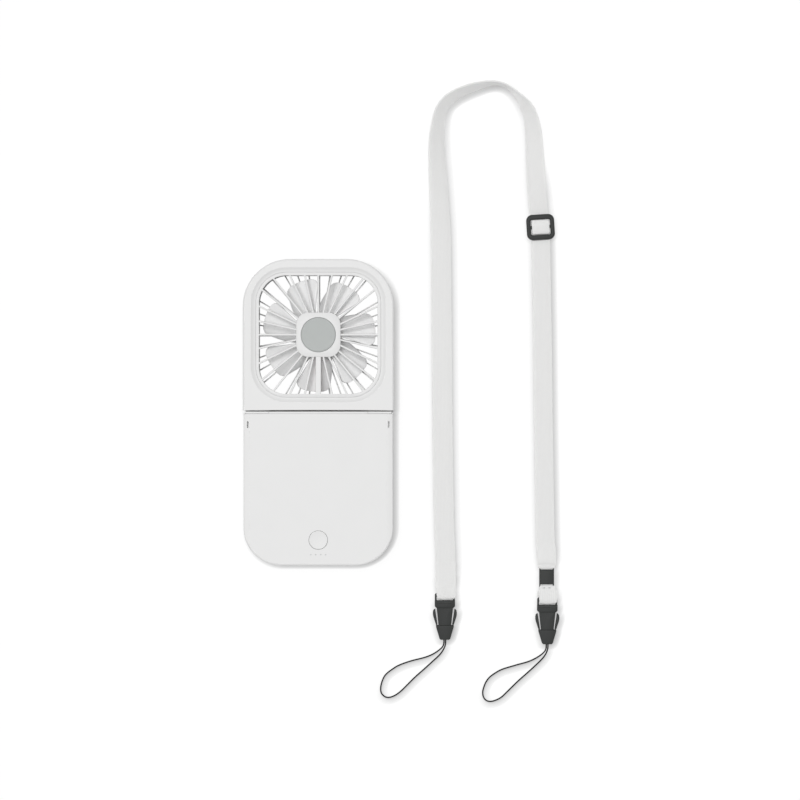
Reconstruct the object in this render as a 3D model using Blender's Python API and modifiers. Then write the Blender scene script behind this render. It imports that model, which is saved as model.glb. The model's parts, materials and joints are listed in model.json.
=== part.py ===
"""A pocket fan whose square head folds on its battery body, lying beside its neck lanyard.

Metres, +Z up. The fan lies on its back. Its folding seam runs along X at Y = 0, the head reaches
towards +Y and the body towards -Y. The lanyard lies on the same surface, to the right of the fan.
"""

import math

import bmesh
import bpy
from mathutils import Matrix, Vector

# Clearances
FIT = 0.0003
PIN_FIT = 0.0002
LIGHT_FIT = 0.00015

# Case of the fan
BODY_WIDTH = 0.0728
HEAD_FLARE = 0.0008
HEAD_WIDTH = BODY_WIDTH + HEAD_FLARE
HEAD_LENGTH = 0.0747
BODY_LENGTH = 0.0747
THICKNESS = 0.0220
HEAD_CORNER = 0.0229
BODY_CORNER = 0.0183
WALL = 0.0018
EDGE_ROUNDING = 0.0012
SPLIT_HEIGHT = 0.0110

# Folding hinge
BARREL_RADIUS = 0.0008
PIN_RADIUS = 0.0003
SEAM_GAP = 0.0006
OUTER_KNUCKLE = 0.0100
BARREL_INSET = 0.0024
BARREL_REACH = BODY_WIDTH / 2 - BARREL_INSET
KNUCKLE_REACH = BARREL_REACH - OUTER_KNUCKLE
FOLD_RELIEF = 0.00014
AXIS_HEIGHT = THICKNESS - BARREL_RADIUS

# Air opening and grilles
AIR_OFFSET = 0.00045
AIR_CENTRE = HEAD_LENGTH / 2 + AIR_OFFSET
OPENING_BORDER = 0.0072
OPENING_SIZE = min(HEAD_WIDTH, HEAD_LENGTH) - 2 * OPENING_BORDER
OPENING_CORNER = 0.0140
DUCT_WALL = 0.0018
INSERT_MARGIN = 0.00065
DISH_MARGIN = 0.0022
DISH_DEPTH = 0.0008
RIM_DEPTH = 0.0016
HUB_SIZE = 0.0218
HUB_CORNER = 0.0060
HUB_TOP_DROP = 0.0004
HUB_DEPTH = 0.0040
FRONT_SPOKES = 28
FRONT_SPOKE_WIDTH = 0.0009
LEAD_SPOKE_WIDTH = 0.0026
LEAD_SPOKE_ANGLE = 270
LEAD_SPOKE_DEPTH = 0.0033
LEAD_CHANNEL_WIDTH = 0.0015
LEAD_CHANNEL_DEPTH = 0.0016
REAR_SPOKES = 36
REAR_SPOKE_WIDTH = 0.00065
REAR_GRILLE_DROP = 0.0010
BADGE_RADIUS = 0.00845
BADGE_THICKNESS = 0.0008
HUB_FLOOR = 0.0017
BADGE_EDGE = 0.0003

# Impeller and motor
BLADES = 7
BLADE_TIP_GAP = 0.0018
BLADE_TIP_RADIUS = OPENING_SIZE / 2 - BLADE_TIP_GAP
BLADE_THICKNESS = 0.0010
BLADE_TOP = 0.0160
BLADE_DROP = 0.0084
BLADE_PHASE = 39.4
BLADE_SPAN_TIP = 37.0
BLADE_SPAN_ROOT = 58.0
BLADE_LEAN_ROOT = 8.0
BLADE_TIP_ROUNDING = 0.0016
IMPELLER_HUB_RADIUS = 0.0104
IMPELLER_HUB_WALL = 0.0014
IMPELLER_HUB_BOTTOM = 0.0066
IMPELLER_HUB_EDGE = 0.0006
CAN_RADIUS = 0.0087
CAN_WALL = 0.0006
MAGNET_THICKNESS = 0.0009
STATOR_GAP = 0.0004
STATOR_HEIGHT = 0.0040
STATOR_TEETH = 9
BUSHING_RADIUS = 0.0022
SHAFT_RADIUS = 0.0010
MOTOR_BOARD_THICKNESS = 0.0008
MOTOR_LEAD_WIDTH = 0.0010
MOTOR_LEAD_THICKNESS = 0.0008

# Lanyard slots in the body
SLOT_WIDTH = 0.0009
SLOT_LENGTH = 0.0032
SLOT_INSET = 0.0021
SLOT_FROM_SEAM = 0.0057
SLOT_DEPTH = 0.0036
POCKET_WALL = 0.0015

# Screws. A place is an inset from the case's side and a distance from the seam or from the far end
SCREW_RADIUS = 0.0010
SCREW_HEAD_RADIUS = 0.0018
SCREW_HEAD_HEIGHT = 0.0010
SCREW_LENGTH = 0.0120
SCREW_SHELF = 0.0032
BOSS_RADIUS = 0.0028
BODY_SCREW_BY_SEAM = (0.0064, 0.0150)
BODY_SCREW_BY_END = (0.0079, 0.0190)
HEAD_SCREW_RADIUS = 0.0007
HEAD_SCREW_HEAD = 0.0013
HEAD_SCREW_SHELF = 0.0022
HEAD_BOSS_RADIUS = 0.0019
HEAD_SCREW_BY_SEAM = (0.0063, 0.0062)
HEAD_SCREW_BY_END = (0.0091, 0.0094)

# Battery, board, charging socket and button
CELL_FROM_SIDE = 0.0114
CELL_FROM_SEAM = 0.0100
CELL_FROM_END = 0.0305
CELL_WIDTH = BODY_WIDTH - 2 * CELL_FROM_SIDE
CELL_LENGTH = BODY_LENGTH - CELL_FROM_SEAM - CELL_FROM_END
CELL_THICKNESS = 0.0100
PAD_THICKNESS = 0.0009
PAD_WIDTH = 0.8 * CELL_WIDTH
PAD_LENGTH = 0.9 * CELL_LENGTH
BOARD_WIDTH = 0.0430
BOARD_LENGTH = 0.0236
BOARD_THICKNESS = 0.0012
USB_WIDTH = 0.0089
USB_HEIGHT = 0.0032
USB_DEPTH = 0.0073
USB_SKIN = 0.0003
USB_TONGUE_WIDTH = 0.0066
USB_TONGUE_THICKNESS = 0.0007
USB_BACK = 0.0018
POST_RADIUS = 0.0014
BUTTON_RADIUS = 0.0047
BUTTON_FROM_END = 0.0125
BUTTON_Y = BUTTON_FROM_END - BODY_LENGTH
BUTTON_FLANGE = 0.0009
BUTTON_FLANGE_THICKNESS = 0.0009
BUTTON_EDGE = 0.0003
STEM_RADIUS = 0.0015
SWITCH_SIZE = 0.0060
SWITCH_HEIGHT = 0.0034
PLUNGER_RADIUS = 0.0016
PLUNGER_HEIGHT = 0.0022
PLUNGER_STAND = 0.0006
LED_FROM_END = 0.0054
LED_Y = LED_FROM_END - BODY_LENGTH
LED_PITCH = 0.0024
LED_COUNT = 4
LED_RADIUS = 0.00028
LED_LENGTH = 0.0010
LED_WIDTH = 0.0006
LIGHT_BAR_HEIGHT = 0.0010
LIGHT_BAR_WIDTH = 0.0018
LEAD_WIRE_RADIUS = 0.0005
LEAD_WIRE_BEND = 0.0010
LEAD_WIRE_X = (0.0075, 0.0105)

# Webbing of the lanyard
STRAP_THICKNESS = 0.0008
STRAP_WIDTH = 0.0101
DOUBLED_WIDTH = 0.0093
LAYER_GAP = 0.0003
LIE = 0.00005
PLATE_THICKNESS = 0.0009
FOLD_RADIUS = 0.5 * PLATE_THICKNESS + LAYER_GAP + 0.5 * STRAP_THICKNESS
LOW_LAYER = LIE + 0.5 * STRAP_THICKNESS
HIGH_LAYER = LOW_LAYER + STRAP_THICKNESS + LAYER_GAP
OVER_BAR = LOW_LAYER + 2 * FOLD_RADIUS
PLATE_HEIGHT = LOW_LAYER + FOLD_RADIUS

# Slider on the right leg
SLIDER_CENTRE = (0.1093, 0.0915)
SLIDER_TILT = 3.5
SLIDER_WIDTH = 0.01385
SLIDER_LENGTH = 0.0126
SLIDER_CORNER = 0.0024
SLIDER_RAIL = 0.0021
SLIDER_BAR = 0.0024
SLIDER_THICKNESS = 0.0018
CENTRE_BAR_WIDTH = 0.0016
CENTRE_BAR_THICKNESS = 0.0007
CENTRE_BAR_DROP = 0.0001
END_LOOP_REACH = 0.0035
END_LOOP_WIDTH = 0.0090

# Link plate between the strap and the short loop
LINK_X = 0.1124
LINK_WIDTH = 0.0073
LINK_TOP_FOLD = -0.0775
LINK_BOTTOM_FOLD = -0.0857
LINK_BAR = 0.0019
LINK_RAIL = 0.0006
LINK_SLOT = 0.0018
LINK_MIDDLE_THICKNESS = 0.0020
LINK_FOLD_WIDTH = 0.0054
LINK_CORNER = 0.0008
LINK_STEP = 0.0002
LOOP_FLAT = 0.0020

# Quick-release buckles
BUCKLE_THICKNESS = 0.0040
BUCKLE_WIDTH = 0.0099
BUCKLE_FLANGE = 0.0036
BUCKLE_GROOVE_AT = 0.0024
BUCKLE_GROOVE = 0.0004
BUCKLE_SLOT = 0.0018
BUCKLE_BAR = 0.0020
BUCKLE_RAIL = 0.0009
BUCKLE_FOLD_WIDTH = 0.0074
BUCKLE_CHAMFER = 0.0007
SLOT_CORNER = 0.0004
TONGUE_THICKNESS = 0.0018
TONGUE_ROOT = 0.0083
TONGUE_MOUTH = 0.0063
TONGUE_END = 0.0042
TONGUE_LENGTH = 0.0128
SOCKET_TOP = -0.0087
SOCKET_BOTTOM = -0.01575
SOCKET_TOP_WIDTH = 0.00876
SOCKET_BOTTOM_WIDTH = 0.00534
CORD_HOLE_WIDTH = 0.0024
CORD_HOLE_HEIGHT = 0.0016
ARM_THICKNESS = 0.0030
ARM_OUTLINE = [
    (0.00475, -0.0006), (0.00545, -0.00095), (0.0059, -0.0020), (0.0059, -0.0036), (0.0055, -0.0053),
    (0.00485, -0.0070), (0.00440, -0.0084), (0.00365, -0.0084), (0.00405, -0.0055), (0.00475, -0.0013),
]
ARM_PIVOT_X = 0.0040
LEFT_BUCKLE = (0.0620, -0.0968)
RIGHT_BUCKLE = (0.1127, -0.0990)

# Thin cord loops
CORD_DIAMETER = 0.0007
CORD_STEP = 0.0022
CORD_DROP_REACH = 0.0100

# The strap round the left buckle's bar and round the link's, below and above the fold: distance
# from the fold's face, height and width
LEFT_TAIL = [
    (0.0120, LOW_LAYER, 0.90 * STRAP_WIDTH), (0.0055, LOW_LAYER, 0.90 * STRAP_WIDTH),
    (0.0035, LOW_LAYER, BUCKLE_FOLD_WIDTH),
]
LEFT_RISE = [
    (0.0035, OVER_BAR, BUCKLE_FOLD_WIDTH), (0.0065, OVER_BAR, 0.92 * STRAP_WIDTH),
    (0.0095, 0.72 * OVER_BAR, 0.97 * STRAP_WIDTH), (0.0130, HIGH_LAYER, STRAP_WIDTH),
    (0.0160, 0.75 * HIGH_LAYER, STRAP_WIDTH), (0.0190, LOW_LAYER, STRAP_WIDTH),
]
LINK_GATHER = [(0.0055, LOW_LAYER, DOUBLED_WIDTH), (0.0025, LOW_LAYER, LINK_FOLD_WIDTH)]
LINK_SPREAD = [
    (0.0025, OVER_BAR, LINK_FOLD_WIDTH), (0.0055, OVER_BAR, DOUBLED_WIDTH),
    (0.0090, (OVER_BAR + HIGH_LAYER) / 2, DOUBLED_WIDTH),
]
BACK_RUN_START = 0.0120

# The strap's centre line, from the left buckle round the neck arch to the link: X, Y and the
# roll of the ribbon about its own length in degrees, its outer edge lifted
STRAP_ROUTE = [
    (0.0623, -0.0700, 0), (0.0616, -0.0535, 0), (0.0610, -0.0140, 0), (0.0606, 0.0256, 0),
    (0.0603, 0.0656, 0), (0.0600, 0.0874, 6), (0.0593, 0.1022, 14), (0.0585, 0.1166, 24),
    (0.0579, 0.1284, 34), (0.0580, 0.1373, 43), (0.0587, 0.1438, 50), (0.0599, 0.1486, 55),
    (0.0622, 0.1528, 60), (0.0663, 0.1562, 64), (0.0713, 0.1587, 68), (0.0765, 0.1606, 72),
    (0.0823, 0.1619, 76), (0.0871, 0.1622, 81), (0.0913, 0.1613, 84), (0.0951, 0.1590, 82),
    (0.0986, 0.1555, 72), (0.1016, 0.1519, 60), (0.1037, 0.1484, 52), (0.1048, 0.1443, 45),
    (0.1057, 0.1393, 37), (0.1064, 0.1314, 27), (0.1071, 0.1176, 14), (0.1082, 0.1020, 0),
    (0.1093, 0.0915, 0), (0.1099, 0.0651, 0), (0.1104, 0.0355, 0), (0.1107, 0.0058, 0),
    (0.1112, -0.0288, 0), (0.1117, -0.0585, 0), (0.1121, -0.0705, 0),
]

# The thin cords, from one strand's end at the buckle round the loop to the other's
LEFT_CORD_ROUTE = [
    (0.0616, -0.1122), (0.0614, -0.1150), (0.0602, -0.1170), (0.0567, -0.1196), (0.0523, -0.1215),
    (0.0450, -0.1234), (0.0392, -0.1255), (0.0359, -0.1275), (0.0334, -0.1294), (0.0318, -0.1314),
    (0.0306, -0.1345), (0.0302, -0.1374), (0.0307, -0.1395), (0.0324, -0.1411), (0.0345, -0.1414),
    (0.0373, -0.1404), (0.0401, -0.1384), (0.0432, -0.1354), (0.0472, -0.1314), (0.0516, -0.1275),
    (0.0560, -0.1235), (0.0596, -0.1201), (0.0615, -0.1172), (0.0623, -0.1150), (0.0624, -0.1122),
]
RIGHT_CORD_ROUTE = [
    (0.1122, -0.1144), (0.1121, -0.1170), (0.1112, -0.1188), (0.1085, -0.1211), (0.1038, -0.1235),
    (0.0969, -0.1255), (0.0904, -0.1275), (0.0869, -0.1294), (0.0842, -0.1314), (0.0824, -0.1338),
    (0.0813, -0.1365), (0.0808, -0.1388), (0.0812, -0.1413), (0.0827, -0.1430), (0.0848, -0.1434),
    (0.0872, -0.1428), (0.0900, -0.1413), (0.0932, -0.1383), (0.0982, -0.1334), (0.1026, -0.1295),
    (0.1070, -0.1255), (0.1104, -0.1221), (0.1122, -0.1194), (0.1130, -0.1168), (0.1130, -0.1144),
]

# Colour, roughness and metallic value of each finish
WHITE_SHELL = ((0.80, 0.80, 0.795), 0.45, 0.0)
WHITE_BLADE = ((0.74, 0.74, 0.74), 0.40, 0.0)
GREY_BADGE = ((0.46, 0.48, 0.475), 0.55, 0.0)
WHITE_WEBBING = ((0.76, 0.76, 0.755), 0.85, 0.0)
DARK_PLASTIC = ((0.045, 0.047, 0.046), 0.50, 0.0)
BLACK_CORD = ((0.018, 0.018, 0.018), 0.80, 0.0)
STEEL = ((0.60, 0.60, 0.61), 0.30, 1.0)
COPPER = ((0.72, 0.36, 0.18), 0.35, 1.0)
BRASS = ((0.75, 0.58, 0.28), 0.35, 1.0)
MAGNET = ((0.10, 0.10, 0.11), 0.60, 0.3)
GREEN_BOARD = ((0.03, 0.20, 0.09), 0.50, 0.0)
SILVER_CELL = ((0.62, 0.63, 0.65), 0.35, 0.6)
BLACK_FOAM = ((0.05, 0.05, 0.05), 0.90, 0.0)
CLEAR_GUIDE = ((0.70, 0.71, 0.71), 0.25, 0.0)
LEAD_RED = ((0.55, 0.04, 0.03), 0.50, 0.0)
LEAD_BLACK = ((0.02, 0.02, 0.02), 0.50, 0.0)


def start_collections():
    """Empties the scene and makes the two collections, for the fan and for its cutters."""
    for old in list(bpy.data.objects):
        bpy.data.objects.remove(old, do_unlink=True)
    made = []
    for name in ("folding_fan", "cutters"):
        collection = bpy.data.collections.new(name)
        bpy.context.scene.collection.children.link(collection)
        made.append(collection)
    return made


FAN, CUTTERS = start_collections()


def finish(piece, look):
    """Gives the piece a material of its own."""
    colour, roughness, metallic = look
    material = bpy.data.materials.new(piece.name + "_finish")
    material.use_nodes = True
    shader = material.node_tree.nodes["Principled BSDF"]
    shader.inputs["Base Color"].default_value = (*colour, 1.0)
    shader.inputs["Roughness"].default_value = roughness
    shader.inputs["Metallic"].default_value = metallic
    material.diffuse_color = (*colour, 1.0)
    piece.data.materials.clear()
    piece.data.materials.append(material)


def object_of(name, bm):
    """A mesh object made from the bmesh, in the fan's collection."""
    mesh = bpy.data.meshes.new(name)
    bmesh.ops.recalc_face_normals(bm, faces=bm.faces)
    bm.to_mesh(mesh)
    bm.free()
    piece = bpy.data.objects.new(name, mesh)
    FAN.objects.link(piece)
    smooth(piece)
    return piece


def as_mesh(curve):
    """The curve object as a closed mesh object in its place."""
    bpy.context.view_layer.update()
    graph = bpy.context.evaluated_depsgraph_get()
    mesh = bpy.data.meshes.new_from_object(curve.evaluated_get(graph))
    mesh.transform(curve.matrix_world)
    name = curve.name
    bpy.data.objects.remove(curve, do_unlink=True)
    bm = bmesh.new()
    bm.from_mesh(mesh)
    bpy.data.meshes.remove(mesh)
    bmesh.ops.remove_doubles(bm, verts=bm.verts, dist=1e-6)
    return object_of(name, bm)


def flat_curve(name, outlines, bottom, top):
    """A filled 2D curve between two heights: the first outline is its edge, the rest are holes."""
    data = bpy.data.curves.new(name, "CURVE")
    data.dimensions = "2D"
    data.fill_mode = "BOTH"
    data.extrude = (top - bottom) / 2
    for outline in outlines:
        spline = data.splines.new("POLY")
        spline.points.add(len(outline) - 1)
        for point, (x, y) in zip(spline.points, outline):
            point.co = (x, y, 0, 1)
        spline.use_cyclic_u = True
    curve = bpy.data.objects.new(name, data)
    curve.location.z = (bottom + top) / 2
    FAN.objects.link(curve)
    return curve


def flat_piece(name, outlines, bottom, top):
    """A flat piece between two heights, its two faces cut into well-shaped triangles."""
    piece = as_mesh(flat_curve(name, outlines, bottom, top))
    bm = bmesh.new()
    bm.from_mesh(piece.data)
    caps = {
        face for face in bm.faces
        if max(v.co.z for v in face.verts) - min(v.co.z for v in face.verts) < 1e-6
    }
    inner = [edge for edge in bm.edges if len(edge.link_faces) == 2 and caps.issuperset(edge.link_faces)]
    bmesh.ops.beautify_fill(bm, faces=list(caps), edges=inner, method="ANGLE")
    bm.to_mesh(piece.data)
    bm.free()
    return piece


def block(name, low, high):
    """A box between two corners."""
    bm = bmesh.new()
    size = Vector(high) - Vector(low)
    middle = (Vector(high) + Vector(low)) / 2
    place = Matrix.Translation(middle) @ Matrix.Diagonal((*size, 1))
    bmesh.ops.create_cube(bm, size=1, matrix=place)
    return object_of(name, bm)


def rod(name, radius, start, end, sides=24):
    """A round bar from one point to another."""
    start, end = Vector(start), Vector(end)
    along = end - start
    turn = Vector((0, 0, 1)).rotation_difference(along).to_matrix().to_4x4()
    place = Matrix.Translation((start + end) / 2) @ turn
    bm = bmesh.new()
    bmesh.ops.create_cone(
        bm, cap_ends=True, segments=sides, radius1=radius, radius2=radius,
        depth=along.length, matrix=place,
    )
    return object_of(name, bm)


def turned(name, profile, place, steps=32):
    """A piece turned about the Z axis through a place, from radius and height pairs."""
    bm = bmesh.new()
    points = [bm.verts.new((radius, 0, height)) for radius, height in profile]
    ends = list(zip(points, points[1:]))
    if profile[0][0] > 0:
        ends.append((points[-1], points[0]))
    for end in ends:
        bm.edges.new(end)
    mesh = bpy.data.meshes.new(name)
    bm.to_mesh(mesh)
    bm.free()
    piece = bpy.data.objects.new(name, mesh)
    piece.location = place
    screw = piece.modifiers.new("turn", "SCREW")
    screw.steps = steps
    screw.render_steps = steps
    screw.use_merge_vertices = True
    screw.merge_threshold = 1e-6
    FAN.objects.link(piece)
    return piece


def shape_with(piece, tool, operation):
    """Cuts the tool from the piece, or joins it to the piece."""
    modifier = piece.modifiers.new(operation.lower(), "BOOLEAN")
    modifier.operation = operation
    modifier.object = tool
    tool.hide_render = True
    tool.display_type = "WIRE"
    if tool.name not in CUTTERS.objects:
        FAN.objects.unlink(tool)
        CUTTERS.objects.link(tool)


def cut(piece, *tools):
    for tool in tools:
        shape_with(piece, tool, "DIFFERENCE")


def join(piece, *tools):
    for tool in tools:
        shape_with(piece, tool, "UNION")


def smooth(piece, angle=35):
    piece.data.shade_smooth()
    piece.data.set_sharp_from_angle(angle=math.radians(angle))


def arc(centre, radius, start, end, steps):
    """Points on a round stretch, from one angle in degrees to another."""
    return [
        (
            centre[0] + radius * math.cos(math.radians(start + (end - start) * i / steps)),
            centre[1] + radius * math.sin(math.radians(start + (end - start) * i / steps)),
        )
        for i in range(steps + 1)
    ]


def rounded_box(width, length, corner, centre=(0, 0), steps=6):
    """The outline of a rectangle with round corners."""
    x, y = width / 2 - corner, length / 2 - corner
    outline = []
    for sign_x, sign_y, start in ((1, 1, 0), (-1, 1, 90), (-1, -1, 180), (1, -1, 270)):
        middle = (centre[0] + sign_x * x, centre[1] + sign_y * y)
        outline += arc(middle, corner, start, start + 90, steps)
    return outline


def air_outline(margin, steps=6):
    """The air opening's outline, widened by a margin all round."""
    size = OPENING_SIZE + 2 * margin
    return rounded_box(size, size, OPENING_CORNER + margin, (0, AIR_CENTRE), steps)


def case_outline(width, length, corner, side, inset=0.0, steps=8):
    """One half of the case: straight at the seam, round at its far corners."""
    half = width / 2 - inset
    near = SEAM_GAP / 2 + inset
    far = length - inset
    radius = corner - inset
    right = arc((half - radius, far - radius), radius, 0, 90, steps)
    left = arc((radius - half, far - radius), radius, 90, 180, steps)
    outline = [(half, near)] + right + left + [(-half, near)]
    return [(x, side * y) for x, y in outline]


def case_block(name, outline, bottom, top, rounded_height):
    """A solid half of the case with its outer edge rounded at one height, and cut square at the seam."""
    seam = min((y for _, y in outline), key=abs)
    away = math.copysign(1, seam)
    longer = [(x, y - away * 3 * EDGE_ROUNDING) if y == seam else (x, y) for x, y in outline]
    piece = flat_piece(name, [longer], bottom, top)
    bm = bmesh.new()
    bm.from_mesh(piece.data)
    bmesh.ops.dissolve_limit(bm, angle_limit=math.radians(0.5), verts=bm.verts, edges=bm.edges)
    rim = [edge for edge in bm.edges if all(abs(v.co.z - rounded_height) < 1e-5 for v in edge.verts)]
    bmesh.ops.bevel(
        bm, geom=rim, offset=EDGE_ROUNDING, segments=3, profile=0.5, affect="EDGES",
        clamp_overlap=False,
    )
    bmesh.ops.bisect_plane(
        bm, geom=bm.verts[:] + bm.edges[:] + bm.faces[:], dist=1e-7,
        plane_co=(0, seam, 0), plane_no=(0, -away, 0), clear_outer=True,
    )
    bmesh.ops.contextual_create(bm, geom=[edge for edge in bm.edges if edge.is_boundary])
    bmesh.ops.recalc_face_normals(bm, faces=bm.faces)
    bm.to_mesh(piece.data)
    bm.free()
    smooth(piece)
    return piece


def joint_empty(name, place, parent=None):
    """The axis or track of a moving piece."""
    empty = bpy.data.objects.new(name, None)
    empty.empty_display_size = 0.01
    FAN.objects.link(empty)
    if parent:
        empty.parent = parent
        empty.location = Vector(place) - parent.matrix_world.translation
    else:
        empty.location = place
    bpy.context.view_layer.update()
    return empty


def carry(empty, *pieces):
    """Hangs the pieces on an empty without moving them."""
    bpy.context.view_layer.update()
    for piece in pieces:
        piece.parent = empty
        piece.matrix_parent_inverse = empty.matrix_world.inverted()


def seam_wedge(name, side):
    """The material that a fold of 90 degrees sweeps at the front edge of the seam."""
    reach = BARREL_RADIUS + SEAM_GAP + EDGE_ROUNDING
    line = FOLD_RELIEF
    corners = [(line - reach, -reach), (line + reach, reach), (line - reach, reach)]
    half = max(HEAD_WIDTH, BODY_WIDTH)
    bm = bmesh.new()
    ends = []
    for x in (-half, half):
        ends.append([bm.verts.new((x, side * y, AXIS_HEIGHT + z)) for y, z in corners])
    bm.faces.new(ends[0])
    bm.faces.new(ends[1])
    for i in range(3):
        j = (i + 1) % 3
        bm.faces.new((ends[0][i], ends[0][j], ends[1][j], ends[1][i]))
    return object_of(name, bm)


def barrel(name, radius, start, end, sides=20):
    """A bar on the hinge axis."""
    return rod(name, radius, (start, 0, AXIS_HEIGHT), (end, 0, AXIS_HEIGHT), sides)


def add_knuckles(shell, side):
    """Cuts the seam's front edge clear for the fold, and adds this half's hinge knuckles."""
    cut(shell, seam_wedge(shell.name + "_wedge", side))
    inner = (-KNUCKLE_REACH, KNUCKLE_REACH)
    outer = [(-BARREL_REACH, -KNUCKLE_REACH - FIT), (KNUCKLE_REACH + FIT, BARREL_REACH)]
    own, other = ([inner], outer) if side < 0 else (outer, [inner])
    for i, (start, end) in enumerate(other):
        groove = barrel(f"{shell.name}_groove_{i}", BARREL_RADIUS + PIN_FIT, start - PIN_FIT, end + PIN_FIT)
        cut(shell, groove)
    for i, (start, end) in enumerate(own):
        join(shell, barrel(f"{shell.name}_knuckle_{i}", BARREL_RADIUS, start, end))
    bore = barrel(shell.name + "_bore", PIN_RADIUS + PIN_FIT, -2 * BARREL_REACH, 2 * BARREL_REACH, 12)
    cut(shell, bore)


def screw_places(side, width, length, by_seam, by_end):
    """Four places in one half of the case, two by the seam and two by its far end."""
    near = (width / 2 - by_seam[0], side * by_seam[1])
    far = (width / 2 - by_end[0], side * (length - by_end[1]))
    return [(sign * x, y) for x, y in (near, far) for sign in (1, -1)]


BODY_SCREWS = screw_places(-1, BODY_WIDTH, BODY_LENGTH, BODY_SCREW_BY_SEAM, BODY_SCREW_BY_END)
HEAD_SCREWS = screw_places(1, HEAD_WIDTH, HEAD_LENGTH, HEAD_SCREW_BY_SEAM, HEAD_SCREW_BY_END)


def add_front_bosses(shell, places, boss, screw):
    """Bosses under the front face with blind holes for the screws."""
    for i, (x, y) in enumerate(places):
        low = SPLIT_HEIGHT - FIT / 2
        join(shell, rod(f"{shell.name}_boss_{i}", boss, (x, y, low), (x, y, THICKNESS - WALL / 2), 14))
        top = SCREW_SHELF + SCREW_LENGTH + 2 * FIT
        cut(shell, rod(f"{shell.name}_hole_{i}", screw + FIT, (x, y, 0), (x, y, top), 12))


def add_rear_bosses(shell, places, boss, screw, head, shelf):
    """Bosses on the rear face, counterbored from behind for the screw heads."""
    for i, (x, y) in enumerate(places):
        top = SPLIT_HEIGHT - 1.5 * FIT
        join(shell, rod(f"{shell.name}_boss_{i}", boss, (x, y, WALL / 2), (x, y, top), 14))
        cut(shell, rod(f"{shell.name}_hole_{i}", screw + FIT, (x, y, -FIT), (x, y, SPLIT_HEIGHT), 12))
        cut(shell, rod(f"{shell.name}_counterbore_{i}", head + FIT, (x, y, -FIT), (x, y, shelf), 14))


def make_screws(prefix, places, radius, head, shelf, length):
    """The self-tapping screws, put in from behind."""
    screws = []
    for i, (x, y) in enumerate(places):
        seat = shelf - FIT
        profile = [
            (0, seat + length), (radius, seat + length - radius), (radius, seat), (head, seat),
            (head * 0.85, seat - SCREW_HEAD_HEIGHT), (0, seat - SCREW_HEAD_HEIGHT),
        ]
        screw = turned(f"{prefix}_{i + 1}", profile, (x, y, 0), 12)
        finish(screw, STEEL)
        screws.append(screw)
    return screws


# Body of the fan

def make_body_shells():
    outline = case_outline(BODY_WIDTH, BODY_LENGTH, BODY_CORNER, -1)
    hollow = case_outline(BODY_WIDTH, BODY_LENGTH, BODY_CORNER, -1, WALL)
    front = case_block("body_front_shell", outline, SPLIT_HEIGHT + FIT / 2, THICKNESS, THICKNESS)
    rear = case_block("body_rear_shell", outline, 0, SPLIT_HEIGHT - FIT / 2, 0)
    cut(front, flat_piece("front_cavity", [hollow], SPLIT_HEIGHT - WALL, THICKNESS - WALL))
    cut(rear, flat_piece("rear_cavity", [hollow], WALL, SPLIT_HEIGHT + WALL))
    add_pockets(front)
    add_knuckles(front, -1)
    add_front_bosses(front, BODY_SCREWS, BOSS_RADIUS, SCREW_RADIUS)
    add_rear_bosses(rear, BODY_SCREWS, BOSS_RADIUS, SCREW_RADIUS, SCREW_HEAD_RADIUS, SCREW_SHELF)
    cut(front, rod("button_hole", BUTTON_RADIUS + FIT, (0, BUTTON_Y, SPLIT_HEIGHT),
                   (0, BUTTON_Y, THICKNESS + WALL), 40))
    for i, x in enumerate(led_places()):
        cut(front, rod(f"light_hole_{i}", LED_RADIUS + LIGHT_FIT, (x, LED_Y, SPLIT_HEIGHT + WALL),
                       (x, LED_Y, THICKNESS + WALL), 10))
    port = rounded_box(USB_WIDTH + 2 * FIT, USB_HEIGHT + 2 * FIT, USB_HEIGHT / 2)
    mouth = flat_piece("port_hole", [port], BODY_LENGTH - 2 * WALL, BODY_LENGTH + WALL)
    mouth.matrix_world = Matrix.Translation((0, 0, SPLIT_HEIGHT)) @ Matrix.Rotation(math.pi / 2, 4, "X")
    cut(front, mouth)
    cut(rear, mouth)
    for i, (x, y) in enumerate(post_places()):
        top = board_bottom() - FIT
        join(rear, rod(f"board_post_{i}", POST_RADIUS, (x, y, WALL / 2), (x, y, top), 12))
    finish(front, WHITE_SHELL)
    finish(rear, WHITE_SHELL)


def add_pockets(shell):
    """The two lanyard slots: in at the front face and out at the side, round a bar at the edge."""
    for side in (1, -1):
        x = side * (BODY_WIDTH / 2 - SLOT_INSET)
        edge = side * (BODY_WIDTH / 2 + WALL)
        inner = x - side * (SLOT_WIDTH / 2 + POCKET_WALL)
        y_low, y_high = -SLOT_FROM_SEAM - SLOT_LENGTH / 2, -SLOT_FROM_SEAM + SLOT_LENGTH / 2
        floor = THICKNESS - SLOT_DEPTH
        side_word = "right" if side > 0 else "left"
        wall = side * (BODY_WIDTH - WALL) / 2
        solid = block(
            f"pocket_{side_word}", (min(inner, wall), y_low - POCKET_WALL, floor - POCKET_WALL),
            (max(inner, wall), y_high + POCKET_WALL, THICKNESS - WALL / 2),
        )
        face_slot = block(
            f"face_slot_{side_word}", (x - SLOT_WIDTH / 2, y_low, floor),
            (x + SLOT_WIDTH / 2, y_high, THICKNESS + WALL),
        )
        side_slot = block(
            f"side_slot_{side_word}", (min(x, edge), y_low, floor),
            (max(x, edge), y_high, THICKNESS - WALL),
        )
        join(shell, solid)
        cut(shell, face_slot, side_slot)


def board_bottom():
    return SPLIT_HEIGHT + USB_HEIGHT / 2 + FIT


def board_far():
    return -BODY_LENGTH + WALL + 2 * FIT + USB_SKIN


def post_places():
    far, near = board_far() + 3 * POST_RADIUS, board_far() + BOARD_LENGTH - 2 * POST_RADIUS
    x = BOARD_WIDTH / 2 - 3 * POST_RADIUS
    return [(x, near), (-x, near), (x, far), (-x, far)]


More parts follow.
